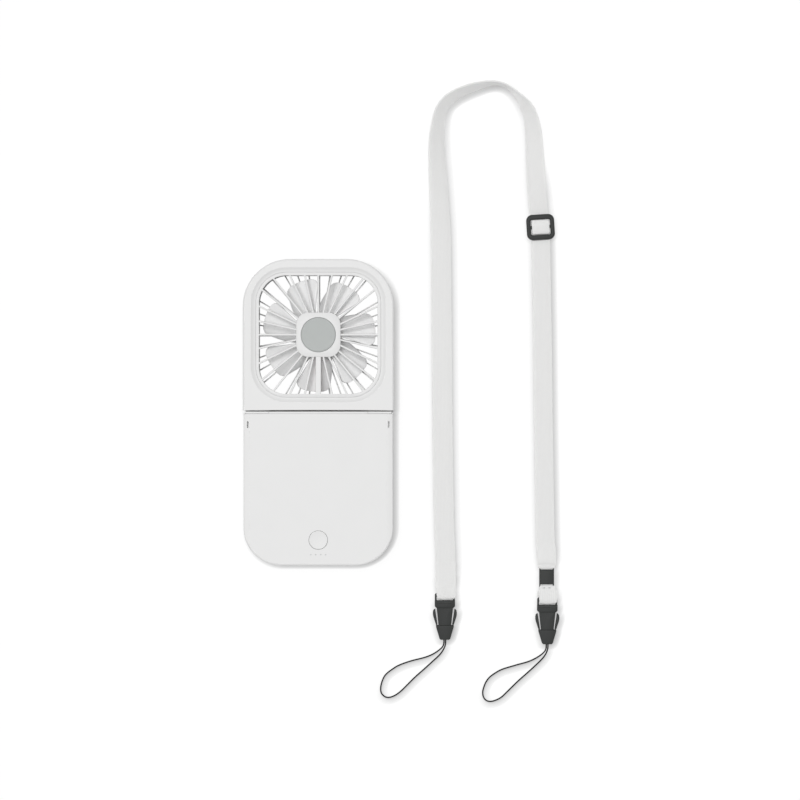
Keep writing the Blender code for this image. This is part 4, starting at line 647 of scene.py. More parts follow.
def sweep(name, rings, closed=False, turns=False):
    """A closed mesh through rings along a path, with a map of its surface.

    The map runs round the section in millimetres, or in turns, and along the path in millimetres.
    """
    bm = bmesh.new()
    layer = bm.loops.layers.uv.new("weave")
    grid = [[bm.verts.new(point) for point in ring] for ring in rings]
    count = len(rings[0])
    around = [0.0]
    for i in range(count):
        around.append(around[-1] + (rings[0][(i + 1) % count] - rings[0][i]).length / MM)
    if turns:
        around = [distance / around[-1] for distance in around]
    middles = [sum(ring, Vector()) / count for ring in rings]
    along = [0.0]
    for first, second in zip(middles, middles[1:] + middles[:1]):
        along.append(along[-1] + (second - first).length / MM)
    for i in range(len(rings) - (0 if closed else 1)):
        low, high = grid[i], grid[(i + 1) % len(grid)]
        for j in range(count):
            k = (j + 1) % count
            face = bm.faces.new((low[j], low[k], high[k], high[j]))
            places = ((j, i), (j + 1, i), (j + 1, i + 1), (j, i + 1))
            for loop, (u, v) in zip(face.loops, places):
                loop[layer].uv = (around[u], along[v])
    if not closed:
        bm.faces.new(grid[0])
        bm.faces.new(grid[-1])
    return object_of(name, bm, 60)


# Floor, lights and camera

def floor_finish():
    """White seen by the camera, with soft shadows, and a plain pale floor to the lights."""
    stage, air = bpy.context.scene.fan_stage, bpy.context.scene.fan_air
    made = Finish("floor_finish", {
        "Base Color": (0.94, 0.94, 0.94, 1), "Roughness": 0.9, "Specular IOR Level": 0.0,
    })
    place = made.node("ShaderNodeTexCoord", output="Object")
    edge = air.opening / 2
    inside = 1.0
    for axis, middle in (("X", 0.0), ("Y", AIR_CENTRE)):
        away = abs(made.part(place, axis) - middle)
        inside = made.node(
            "ShaderNodeMapRange", {"interpolation_type": "SMOOTHSTEP"},
            {"Value": away, "From Min": edge + 1.5 * MM, "From Max": edge - 0.5 * MM},
        ) * inside
    outside = 1 - inside
    to_light = made.node("ShaderNodeCombineXYZ", inputs={"X": -0.50, "Y": 0.84, "Z": 0.20})
    open_share = made.node(
        "ShaderNodeAmbientOcclusion", {"samples": 16},
        {"Distance": stage.contact_reach, "Normal": to_light}, "AO",
    )
    dark_share = (1 - open_share) ** 0.7 * outside * stage.contact
    white = made.node("ShaderNodeEmission", inputs={"Strength": 1.0})
    dimmed = made.node("ShaderNodeMixShader", inputs={0: dark_share, 1: white})
    camera_ray = made.node("ShaderNodeLightPath", output="Is Camera Ray")
    seen_share = camera_ray * (1 - outside * stage.shadow)
    mixed = made.node("ShaderNodeMixShader", inputs={
        0: seen_share, 1: Term(made, made.shader.outputs[0]), 2: dimmed,
    })
    made.feed(made.tree.nodes["Material Output"].inputs["Surface"], mixed)
    return made.material


class FAN_OT_stage(bpy.types.Operator):
    """Lays the floor, sets the lights and points the camera"""
    bl_idname = "fan.stage"
    bl_label = "Floor, Lights and Camera"

    def execute(self, context):
        stage = context.scene.fan_stage
        context.scene.view_settings.view_transform = "Standard"
        camera = bpy.data.objects.new("camera", bpy.data.cameras.new("camera"))
        camera.data.lens = stage.lens
        camera.location = (stage.camera_x, stage.camera_y, stage.camera_height)
        context.scene.collection.objects.link(camera)
        context.scene.camera = camera
        self.add_floor()
        lean = math.tan(stage.key_tilt)
        lamp = bpy.data.objects.new("key_lamp", bpy.data.lights.new("key_lamp", "SUN"))
        lamp.data.energy = stage.key * math.pi
        lamp.data.angle = stage.key_spread
        lamp.location = (-lean, lean, 1)
        lamp.rotation_euler = Vector((lean, -lean, -1)).to_track_quat("-Z", "Y").to_euler()
        context.scene.collection.objects.link(lamp)
        world = bpy.data.worlds.new("room")
        world.use_nodes = True
        background = world.node_tree.nodes["Background"]
        background.inputs["Color"].default_value = (1, 1, 1, 1)
        background.inputs["Strength"].default_value = stage.sky
        context.scene.world = world
        return {"FINISHED"}

    def add_floor(self, half_width=1.5, drop=0.02 * MM):
        """A square floor that lies just under the pieces."""
        bm = bmesh.new()
        bmesh.ops.create_grid(bm, x_segments=1, y_segments=1, size=half_width)
        floor = object_of("floor", bm)
        floor.location.z = -drop
        floor.data.materials.append(floor_finish())


# Lanyard cords and straps

def stretches(points):
    """The stretches of a smooth curve, each with its two ends between the points before and after."""
    ends = [2 * points[0] - points[1]] + points + [2 * points[-1] - points[-2]]
    return zip(ends, ends[1:], ends[2:], ends[3:])


def curve_at(t, before, here, there, after):
    """The point that is a share t of the way along a stretch."""
    return 0.5 * (
        2 * here + (there - before) * t + (2 * before - 5 * here + 4 * there - after) * t * t
        + (3 * here - before - 3 * there + after) * t ** 3
    )


def spline_points(points, step, reads=16):
    """A smooth curve through the points, read at even steps."""
    points = [Vector(point) for point in points]
    fine = [curve_at(k / reads, *stretch) for stretch in stretches(points) for k in range(reads)]
    fine.append(points[-1])
    lengths = [0.0]
    for first, second in zip(fine, fine[1:]):
        lengths.append(lengths[-1] + (second.xy - first.xy).length)
    count = max(2, round(lengths[-1] / step))
    read, at = [], 0
    for i in range(count + 1):
        target = lengths[-1] * i / count
        while at < len(fine) - 2 and lengths[at + 1] < target:
            at += 1
        part = (target - lengths[at]) / max(lengths[at + 1] - lengths[at], 1e-9)
        read.append(fine[at].lerp(fine[at + 1], min(1, part)))
    return read


def round_rings(points, radius, sides=12):
    """Circles square to a path, without twist between them."""
    rings, side = [], Vector((0, 0, 1))
    for i, point in enumerate(points):
        along = (points[min(i + 1, len(points) - 1)] - points[max(i - 1, 0)]).normalized()
        side = (side - along * side.dot(along)).normalized()
        other = along.cross(side)
        rings.append([point + side * a + other * b for a, b in circle((0, 0), radius, sides)])
    return rings


def make_cord(side, route):
    """A thin cord loop that leaves the buckle, comes down to the surface and returns."""
    diameter = bpy.context.scene.fan_lanyard.cord
    rest, exit_height = diameter / 2 + LIE, BUCKLE_THICKNESS / 2
    step, reach = 0.8 * MM, 10 * MM
    points = spline_points([(x, y, 0) for x, y in route], step)
    for i, point in enumerate(points):
        from_end = min(i, len(points) - 1 - i) * step
        point.z = exit_height + (rest - exit_height) * smooth(from_end / reach)
    cord = sweep(side + "_cord", round_rings(points, diameter / 2), turns=True)
    seat(cord, side + "_cord_half", "black_cord", side + "_cord_loop")


class FAN_OT_cords(bpy.types.Operator):
    """Makes the two thin cord loops"""
    bl_idname = "fan.cords"
    bl_label = "Thin Cord Loops"

    def execute(self, context):
        make_cord("left", LEFT_CORD_ROUTE)
        make_cord("right", RIGHT_CORD_ROUTE)
        return {"FINISHED"}


def strap_section(width, thickness):
    """A flat section with round selvedges."""
    flat = width / 2 - thickness / 2
    right = arc((flat, 0), thickness / 2, -90, 90, 4)
    left = arc((-flat, 0), thickness / 2, 90, 270, 4)
    top = [(flat * part, thickness / 2) for part in (0.5, 0, -0.5)]
    bottom = [(-x, -y) for x, y in top]
    return right + top + left + bottom


def strap_rings(stations, thickness=STRAP_THICKNESS, closed=False):
    """Sections of a strap at its stations, each a centre, the direction across it and its width."""
    rings = []
    last = len(stations) - 1
    for i, (centre, across, width) in enumerate(stations):
        after = stations[(i + 1) % len(stations) if closed else min(i + 1, last)][0]
        before = stations[i - 1 if closed else max(i - 1, 0)][0]
        along = (after - before).normalized()
        up = across.cross(along).normalized()
        rings.append([centre + across * a + up * b for a, b in strap_section(width, thickness)])
    return rings


def fold_stations(places, outermost, side, widths, upwards, facing=1):
    """A half turn round a bar, its outermost face at a place along Y.

    Places and widths are pairs: X and width in the slot, and those above the bar, where it spreads.
    """
    centre_y = outermost - side * (FOLD_RADIUS + STRAP_THICKNESS / 2)
    stations = []
    for i in range(13):
        degrees = -90 + 15 * i if upwards else 90 - 15 * i
        angle = math.radians(degrees)
        spread = smooth((degrees - 5) / 55)
        x, width = (low + (high - low) * spread for low, high in (places, widths))
        y = centre_y + side * FOLD_RADIUS * math.cos(angle)
        z = PLATE_HEIGHT + FOLD_RADIUS * math.sin(angle)
        stations.append(along_y(x, y, z, width, facing))
    return stations


def along_y(x, y, height, width, facing=1):
    """A station of a run along Y. The strap's first edge is on its left, or facing -1, on its right."""
    return (Vector((x, y, height)), Vector((facing, 0, 0)), width)


def eased(stations, step):
    """The stations with a smooth run of more stations between them."""
    made = []
    course = stretches([centre for centre, _, _ in stations])
    for first, second, stretch in zip(stations, stations[1:], course):
        parts = max(1, round((second[0] - first[0]).length / step))
        for k in range(parts):
            t = k / parts
            across = first[1].lerp(second[1], t).normalized()
            made.append((curve_at(t, *stretch), across, first[2] + (second[2] - first[2]) * smooth(t)))
    return made + [stations[-1]]


def bulge(strap, fold, side, depth=0.5 * MM, reach=2.4 * MM):
    """Lets a strap's fold hang out in its middle and draw back at its edges."""
    for vertex in strap.data.vertices:
        near = 1 - abs(vertex.co.y - fold[1]) / reach
        across = (vertex.co.x - fold[0]) / (STRAP_WIDTH / 2)
        if near > 0 and abs(across) < 1.2:
            vertex.co.y += side * depth * near * (1 - 1.5 * across * across)


def leg_stations(step=3 * MM, narrow_from=0.45, narrow_over=0.2):
    """The strap's long run over the neck, with its roll. It narrows on a share of its way."""
    stations = []
    points = spline_points([(x, y, roll * MM) for x, y, roll in STRAP_ROUTE], step)
    for i, point in enumerate(points):
        before, after = points[max(0, i - 1)], points[min(len(points) - 1, i + 1)]
        along = (after - before).xy.normalized()
        roll = math.radians(point.z / MM)
        inward = Vector((along.y, -along.x, 0))
        across = inward * math.cos(roll) - Vector((0, 0, 1)) * math.sin(roll)
        narrowing = min(1, max(0, (i / (len(points) - 1) - narrow_from) / narrow_over))
        width = STRAP_WIDTH + (DOUBLED_WIDTH - STRAP_WIDTH) * narrowing
        lift = width / 2 * abs(math.sin(roll)) + STRAP_THICKNESS / 2 * abs(math.cos(roll))
        stations.append((Vector((point.x, point.y, LIE + lift)), across, width))
    return stations


def stitches(name, start, end, count, surface, lift=0.12 * MM):
    """A row of sewn stitches across a strap, each a short thread that dips into the weave."""
    start, end = Vector((*start, surface)), Vector((*end, surface))
    pitch = (end - start) / count
    bm = bmesh.new()
    for i in range(count):
        middle = start + pitch * (i + 0.5)
        place = Matrix.Translation(middle) @ pitch.to_track_quat("X", "Z").to_matrix().to_4x4()
        shape = Matrix.Diagonal((pitch.length * 0.36, 0.16 * MM, lift, 1))
        bmesh.ops.create_uvsphere(bm, u_segments=10, v_segments=6, radius=1, matrix=place @ shape)
    return object_of(name, bm)


class FAN_OT_neck_strap(bpy.types.Operator):
    """Lays the neck strap in its arch, with its second layer from the link up to the slider"""
    bl_idname = "fan.neck_strap"
    bl_label = "Neck Strap"

    def execute(self, context):
        neck = leg_stations()
        run = eased(self.tail(), 1.2 * MM) + neck + eased(self.link_end(), 1.0 * MM)
        strap = sweep("neck_webbing", strap_rings(run))
        bulge(strap, (LEFT_BUCKLE.x + 0.35 * MM, LEFT_FOLD), -1)
        bulge(strap, (LINK_X - 0.1 * MM, LINK_TOP_FOLD), -1)
        seat(strap, "handle", "white_webbing", "neck_strap")
        self.add_second_layer(neck)
        return {"FINISHED"}

    def tail(self):
        """The strap's sewn tail below, its turn round the buckle's bar and its way down to the surface."""
        x, wide = LEFT_BUCKLE.x, STRAP_WIDTH
        aside, slot_width = 0.7 * MM, 7.4 * MM
        below = [(12, wide * 0.9), (5.5, wide * 0.9), (3.5, slot_width)]
        stations = [along_y(x, LEFT_FOLD + up * MM, LOW_LAYER, width) for up, width in below]
        stations += fold_stations((x, x + aside), LEFT_FOLD, -1, (slot_width, wide * 0.92), True)
        above = [
            (3.5, 0.6, OVER_BAR, 0.97), (6.5, 0.5, OVER_BAR, 1.01), (9.5, 0.4, OVER_BAR * 0.72, 1.02),
            (13, 0.4, HIGH_LAYER, 1.02), (16, 0.4, HIGH_LAYER * 0.75, 1.01), (19, 0.3, LOW_LAYER, 1),
        ]
        for up, right, height, part in above:
            stations.append(along_y(x + right * MM, LEFT_FOLD + up * MM, height, wide * part))
        return stations

    def link_end(self):
        """The strap's way into the link's upper slot and round its bar."""
        slot_width, turned_x = 5.4 * MM, LINK_X - 0.2 * MM
        stations = [
            along_y(LINK_X, LINK_TOP_FOLD + 5.5 * MM, LOW_LAYER, DOUBLED_WIDTH, -1),
            along_y(LINK_X, LINK_TOP_FOLD + 2.5 * MM, LOW_LAYER, slot_width, -1),
        ]
        stations += fold_stations((LINK_X, turned_x), LINK_TOP_FOLD, -1, (slot_width, 9.0 * MM), True, -1)
        return stations + [along_y(turned_x, LINK_TOP_FOLD + 2.5 * MM, OVER_BAR, DOUBLED_WIDTH, -1)]

    def add_second_layer(self, neck):
        """The doubled run over the right leg, laid from the link up to the slider where it stands; on the real
        strap it shortens as the slider comes down.
        """
        rise = ((2.5, OVER_BAR), (5.5, OVER_BAR), (9, (OVER_BAR + HIGH_LAYER) / 2))
        back = [along_y(LINK_X, LINK_TOP_FOLD + up * MM, height, DOUBLED_WIDTH, -1) for up, height in rise]
        for centre, across, width in reversed(neck):
            on_right_leg = centre.x > LINK_X - STRAP_WIDTH
            if on_right_leg and LINK_TOP_FOLD + 12 * MM < centre.y < SLIDER_CENTRE.y + 1 * MM:
                back.append((Vector((centre.x, centre.y, HIGH_LAYER)), across, width))
        run = eased(back, 2 * MM)
        layer = sweep("doubled_webbing", strap_rings(run))
        seat(layer, "handle", "white_webbing", "neck_strap")


class FAN_OT_strap_loops(bpy.types.Operator):
    """Makes the short loop below the link and the strap's end round the slider's bar"""
    bl_idname = "fan.strap_loops"
    bl_label = "Short Strap Loops"

    def execute(self, context):
        middle_x = (LINK_X + RIGHT_BUCKLE.x) / 2
        aside_x = middle_x + 0.55 * MM
        middle_y = (LINK_BOTTOM_FOLD + RIGHT_FOLD) / 2
        over = [along_y(aside_x, middle_y + up * MM, OVER_BAR + FIT, 9.1 * MM) for up in (1.6, -1.6)]
        under = [along_y(middle_x, middle_y + up * MM, LOW_LAYER, 9.4 * MM) for up in (-1.2, 1.2)]
        up_places, up_widths = (LINK_X, LINK_X + 0.3 * MM), (5.6 * MM, 7.9 * MM)
        down_places, down_widths = (RIGHT_BUCKLE.x, aside_x), (7.6 * MM, 8.7 * MM)
        stations = fold_stations(up_places, LINK_BOTTOM_FOLD, 1, up_widths, True)
        down = fold_stations(down_places, RIGHT_FOLD, -1, down_widths, False)
        top = [stations.pop()] + over + [down.pop(0)]
        stations += eased(top, 0.7 * MM) + down + under
        loop = sweep("short_webbing_loop", strap_rings(stations, closed=True), closed=True)
        bulge(loop, (LINK_X + 0.15 * MM, LINK_BOTTOM_FOLD), 1)
        bulge(loop, (middle_x + 0.3 * MM, RIGHT_FOLD), -1)
        seat(loop, "handle", "white_webbing", "short_strap_loop")
        row_y, far, fall = LINK_BOTTOM_FOLD - 1.1 * MM, 2.3 * MM, 0.2 * MM
        for name, side, near in (("left", -1, 0.4 * MM), ("right", 1, 0.5 * MM)):
            start, end = (LINK_X + side * near, row_y), (LINK_X + side * far, row_y - fall)
            row = stitches(f"loop_stitch_{name}", start, end, 1, OVER_BAR + STRAP_THICKNESS / 2)
            seat(row, "handle", "white_webbing", finish="grey_thread")
        self.add_end_loop()
        return {"FINISHED"}

    def add_end_loop(self):
        """The strap's sewn end, a flattened hoop round the slider's bar."""
        low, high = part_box("strap_end_loop")
        middle = (low + high) / 2
        half_length, width, squareness = 3.6 * MM, 8.6 * MM, 0.75
        reach = half_length - STRAP_THICKNESS / 2
        half_height = (high.z - low.z) / 2 - STRAP_THICKNESS / 2
        turn = Matrix.Rotation(SLIDER_TURN, 3, "Z")
        across = turn @ Vector((1, 0, 0))
        stations = []
        for i in range(32):
            angle = math.tau * i / 32
            swell = abs(math.cos(angle)) ** squareness * math.copysign(1, math.cos(angle))
            y, z = reach * math.sin(angle), half_height * swell
            stations.append((middle + turn @ Vector((0, y, 0)) + Vector((0, 0, z)), across, width))
        loop = sweep("webbing_end_loop", strap_rings(stations, closed=True), closed=True)
        seat(loop, "slider", "white_webbing", "strap_end_loop")


def strap_plate(name, outlines):
    """A thin plate that a strap goes round, at the height of its bar."""
    return plate(name, outlines, PLATE_HEIGHT - PLATE_HALF, PLATE_HEIGHT + PLATE_HALF, 0.2 * MM)


class FAN_OT_strap_hardware(bpy.types.Operator):
    """Makes the slider and the link plate"""
    bl_idname = "fan.strap_hardware"
    bl_label = "Slider and Link"

    def execute(self, context):
        edge = context.scene.fan_lanyard.edge
        turn = Matrix.Translation((*SLIDER_CENTRE, 0)) @ Matrix.Rotation(SLIDER_TURN, 4, "Z")
        outer = rounded_box(13.85 * MM, 12.6 * MM, 3.0 * MM)
        window = rounded_box(9.65 * MM, 7.8 * MM, 1.0 * MM, steps=5)
        slider = plate("slider_frame", [outer, window], SLIDER_LOW.z, SLIDER_HIGH.z, 2 * edge, turn)
        bar = rounded_box(11.2 * MM, 1.6 * MM, 0.3 * MM, steps=4)
        bar_low, bar_high = SLIDER_HIGH.z - 0.7 * MM, SLIDER_HIGH.z - 0.1 * MM
        shaped(slider, [plate("slider_bar", [bar], bar_low, bar_high, edge / 2, turn)], "UNION")
        seat(slider, "slider", "dark_plastic", "strap_slider")
        self.add_link(edge)
        return {"FINISHED"}

    def add_link(self, edge):
        """A plate with a slot at each end and a thicker middle."""
        width, length = LINK_HIGH.x - LINK_LOW.x, LINK_HIGH.y - LINK_LOW.y
        middle = (LINK_X, (LINK_HIGH.y + LINK_LOW.y) / 2)
        slot_places = (LINK_HIGH.y - 2.8 * MM, LINK_LOW.y + 2.8 * MM)
        outlines = [rounded_box(width, length, 0.8 * MM, middle, 6)]
        outlines += [rounded_box(width - 1.2 * MM, 1.8 * MM, 0.4 * MM, (LINK_X, y), 4) for y in slot_places]
        link = strap_plate("link_plate", outlines)
        core = rounded_box(width - 0.3 * MM, length - 7.8 * MM, 0.5 * MM, middle, 4)
        bridge = plate("link_bridge", [core], PLATE_HEIGHT - 1.0 * MM, PLATE_HEIGHT + 1.0 * MM, edge)
        shaped(link, [bridge], "UNION")
        seat(link, "handle", "dark_plastic", "strap_link")


def mirrored(points, place):
    """The right half of an outline, from top to bottom, mirrored and put in its place."""
    left = [(-x, y) for x, y in reversed(points) if x > 0]
    return [(place.x + x * MM, place.y + y * MM) for x, y in points + left]


def make_plug(side, place):
    """The strap's half of a buckle: a slotted frame, a grooved flange and a tapered tongue."""
    edge, middle = bpy.context.scene.fan_lanyard.edge, BUCKLE_THICKNESS / 2
    frame_outline = mirrored([(4.2, 7.4), (4.95, 6.6), (4.95, 1.0)], place)
    slot = rounded_box(8.1 * MM, 1.8 * MM, 0.4 * MM, (place.x, place.y + 4.5 * MM), 4)
    plug = strap_plate(side + "_plug", [frame_outline, slot])
    flange_outline = mirrored([(5.0, 3.55), (5.0, 0.8), (4.2, 0)], place)
    flange = plate(side + "_flange", [flange_outline], 0, BUCKLE_THICKNESS, edge)
    groove_y, half_length, half_width, depth = place.y + 2.35 * MM, 8 * MM, 0.22 * MM, 0.35 * MM
    shaped(flange, [
        block(side + "_groove", (place.x - half_length, groove_y - half_width, height - depth),
              (place.x + half_length, groove_y + half_width, height + depth))
        for height in (0, BUCKLE_THICKNESS)
    ])
    tongue_outline = mirrored([(4.1, 0.6), (3.15, -8.7), (2.1, -12.8)], place)
    tongue = plate(side + "_tongue", [tongue_outline], middle - 0.9 * MM, middle + 0.9 * MM, edge)
    shaped(plug, [flange, tongue], "UNION")
    seat(plug, "handle", "dark_plastic", side + "_buckle_plug")


def make_socket(side, place):
    """The cord's half of a buckle: a tapered sleeve, open for the tongue and for the cord."""
    edge, middle = bpy.context.scene.fan_lanyard.edge, BUCKLE_THICKNESS / 2
    outline = mirrored([(4.38, -8.7), (4.33, -9.6), (2.67, -15.2), (2.1, -15.75)], place)
    sleeve = plate(side + "_sleeve", [outline], 0, BUCKLE_THICKNESS, edge * 1.5)
    hollow_outline = mirrored([(3.7, -6.9), (2.4, -13.1)], place)
    hollow = plate(side + "_hollow", [hollow_outline], middle - 1.2 * MM, middle + 1.2 * MM)
    ends = [(place.x, place.y - down * MM, middle) for down in (20, 12)]
    shaped(sleeve, [hollow, rod(side + "_cord_hole", 1.0 * MM, *ends)])
    seat(sleeve, side + "_cord_half", "dark_plastic", side + "_buckle_socket")


# The right squeeze arm's outline in millimetres from the buckle's centre
ARM_OUTLINE = [
    (4.75, -0.6), (5.3, -0.75), (5.75, -1.35), (5.92, -2.3), (5.9, -3.4), (5.65, -4.6), (5.25, -5.8),
    (4.85, -7.0), (4.55, -8.0), (4.40, -8.4), (3.65, -8.4), (3.80, -7.2), (4.10, -5.2), (4.45, -3.0),
    (4.72, -1.3),
]


def make_arm(side, place, hand):
    """A springy squeeze arm with three grip ribs, beside the tongue."""
    edge = bpy.context.scene.fan_lanyard.edge
    sign = -1 if hand == "left" else 1
    name = f"{side}_buckle_{hand}"
    outline = [(place.x + sign * x * MM, place.y + y * MM) for x, y in ARM_OUTLINE]
    arm = plate(name + "_squeeze_arm", [outline], 0.5 * MM, BUCKLE_THICKNESS - 0.5 * MM, edge)
    rib_x = place.x + sign * 5.93 * MM
    ribs = []
    for i in range(3):
        y = place.y - (2.0 + 0.9 * i) * MM
        ribs.append(post("rib", 0.16 * MM, (rib_x, y), 0.3 * MM, BUCKLE_THICKNESS - 0.3 * MM, 12))
    shaped(arm, ribs)
    seat(arm, name + "_squeeze", "dark_plastic", name + "_arm")


class FAN_OT_buckles(bpy.types.Operator):
    """Makes the two quick-release buckles"""
    bl_idname = "fan.buckles"
    bl_label = "Buckles"

    def execute(self, context):
        for side, place in (("left", LEFT_BUCKLE), ("right", RIGHT_BUCKLE)):
            make_plug(side, place)
            make_socket(side, place)
            make_arm(side, place, "left")
            make_arm(side, place, "right")
        return {"FINISHED"}


# Case of the fan

def half_outline(width, far, corner, side, inset=0.0, near=None):
    """One half of the case: straight at the seam, round at its far corners."""
    half = width / 2 - inset
    near = SEAM_GAP / 2 + inset if near is None else near
    radius = corner - inset
    far_y = far - inset - radius
    right = arc((half - radius, far_y), radius, 0, 90, 20)
    left = arc((radius - half, far_y), radius, 90, 180, 20)
    return [(x, side * y) for x, y in [(half, near)] + right + left + [(-half, near)]]


def case_half(name, width, far, corner, side, front):
    """A solid half of the case with a rounded outer edge and a chamfer at its parting line."""
    case = bpy.context.scene.fan_case
    rounding, chamfer = case.edge_rounding, case.parting_chamfer
    gap = FIT / 2
    levels = [(chamfer, gap), (0, gap + chamfer)]
    height = FRONT - SPLIT if front else SPLIT
    for i in range(9):
        angle = math.radians(90 * i / 8)
        levels.append((rounding * (1 - math.cos(angle)), height - rounding * (1 - math.sin(angle))))
    rings = []
    for inset, rise in levels:
        z = SPLIT + rise if front else SPLIT - rise
        outline = half_outline(width, far, corner, side, inset, near=-6 * MM)
        rings.append([(x, y, z) for x, y in outline])
    return loft(name, rings)


def seam_cutter(side, edge, bow, ledge):
    """All that lies past the seam; above a ledge the wall stands back, furthest in the middle."""
    near, past, bevel = SEAM_GAP / 2, -12 * MM, 0.1 * MM
    half = HEAD_HIGH.x + 2 * MM
    rings = []
    for i in range(33):
        x = half * (i / 16 - 1)
        reach = edge + bow * (1 - min(1, (x / HEAD_HIGH.x) ** 2))
        corners = [
            (past, -MM), (near, -MM), (near, ledge), (reach, ledge), (reach, FRONT - bevel),
            (reach + bevel, FRONT), (reach + bevel, FRONT + MM), (past, FRONT + MM),
        ]
        rings.append([(x, side * y, z) for y, z in corners])
    return loft("seam", rings)


def knuckles(side, spans):
    """Flat-topped knuckles that lie in the seam, each on a web that stands up from its own half."""
    case = bpy.context.scene.fan_case
    near, far, root = case.knuckle_near, -case.knuckle_far, 1.3 * MM
    rounding, axis = 0.1 * MM, FOLD_AXIS_HEIGHT
    top, low = FRONT - 0.07 * MM, axis - 0.35 * MM
    if side > 0:
        foot = axis - 8 * MM
        section = [
            (near, foot + 0.4 * MM), (root, foot + 0.4 * MM), (root, foot), (-0.1 * MM, foot),
            (-0.1 * MM, low), (far + 0.3 * MM, low), (far, axis - 0.1 * MM),
        ]
    else:
        section = [
            (near, axis - 0.1 * MM), (near - 0.2 * MM, low), (-root, low),
            (-root, axis - 0.05 * MM), (far, axis - 0.05 * MM),
        ]
    section += arc((far + rounding, top - rounding), rounding, 180, 90, 4)
    section += arc((near - rounding, top - rounding), rounding, 90, 0, 4)
    along = Matrix(((0, 0, 1, 0), (1, 0, 0, 0), (0, 1, 0, 0), (0, 0, 0, 1)))
    return [plate("knuckle", [section], low_x, high_x, turn=along) for low_x, high_x in spans]


def fit_hinge(shell, side, front):
    """Cuts the seam; a front shell also clears the other half's knuckles and gets its own."""
    case = bpy.context.scene.fan_case
    body_end, head_start, head_end = 24 * MM, 24.2 * MM, 35.6 * MM
    on_body = [(-body_end, body_end)]
    on_head = [(-head_end, -head_start), (head_start, head_end)]
    if side > 0:
        own, other, ledge = on_head, on_body, 3 * MM
        cutter = seam_cutter(side, case.seam_edge, case.seam_bow, ledge)
    else:
        own, other, ledge = on_body, on_head, FOLD_AXIS_HEIGHT - 0.5 * MM
        cutter = seam_cutter(side, case.body_edge, 0, ledge)
    shaped(shell, [cutter])
    if not front:
        return
    axis, gap = FOLD_AXIS_HEIGHT, 0.1 * MM
    turning = math.hypot(case.knuckle_far, FRONT - axis) + 0.02 * MM
    grooves = [rod("groove", turning, (low - gap, 0, axis), (high + gap, 0, axis), 48) for low, high in other]
    shaped(shell, grooves)
    shaped(shell, knuckles(side, own), "UNION")


def rear_bosses(shell, prefix, boss, hole, seat_radius):
    """Bosses inside the rear face, counterbored from behind for the screw heads."""
    cutters, bosses = [], []
    for i in range(4):
        low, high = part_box(f"{prefix}_{i + 1}")
        centre = ((low.x + high.x) / 2, (low.y + high.y) / 2)
        bosses.append(post("boss", boss, centre, WALL / 2, SPLIT - 0.45 * MM))
        cutters.append(post("hole", hole, centre, -MM, SPLIT))
        cutters.append(post("counterbore", seat_radius, centre, -MM, low.z + SCREW_HEAD + FIT))
    shaped(shell, bosses, "UNION")
    shaped(shell, cutters)


def make_screws(prefix, body, radius, head):
    """Self-tapping screws with a cross recess, put in from behind."""
    core, pitch, band = radius * 0.78, 0.9 * MM, 0.35 * MM
    for i in range(4):
        node = f"{prefix}_{i + 1}"
        low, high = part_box(node)
        x, y = (low.x + high.x) / 2, (low.y + high.y) / 2
        seat_z = low.z + SCREW_HEAD
        profile = [(0, high.z), (radius * 0.3, high.z)]
        turns = int((high.z - seat_z - radius) / pitch)
        for k in range(turns):
            top = high.z - radius - pitch * k
            profile += [(core, top), (radius, top - pitch / 2)]
        profile += [(core, seat_z), (head, seat_z), (head, seat_z - band)]
        for step in range(1, 7):
            angle = math.radians(15 * step)
            profile.append((head * math.cos(angle), seat_z - band - (SCREW_HEAD - band) * math.sin(angle)))
        profile[-1] = (0, low.z)
        screw = turned(node + "_turned", profile, (x, y), 24)
        reach, slit = head * 0.62, head * 0.13
        cross = [
            block("slit", (x - a, y - b, low.z - MM), (x + a, y + b, low.z + 0.6 * MM))
            for a, b in ((reach, slit), (slit, reach))
        ]
        shaped(screw, cross)
        seat(screw, body, "steel", node)


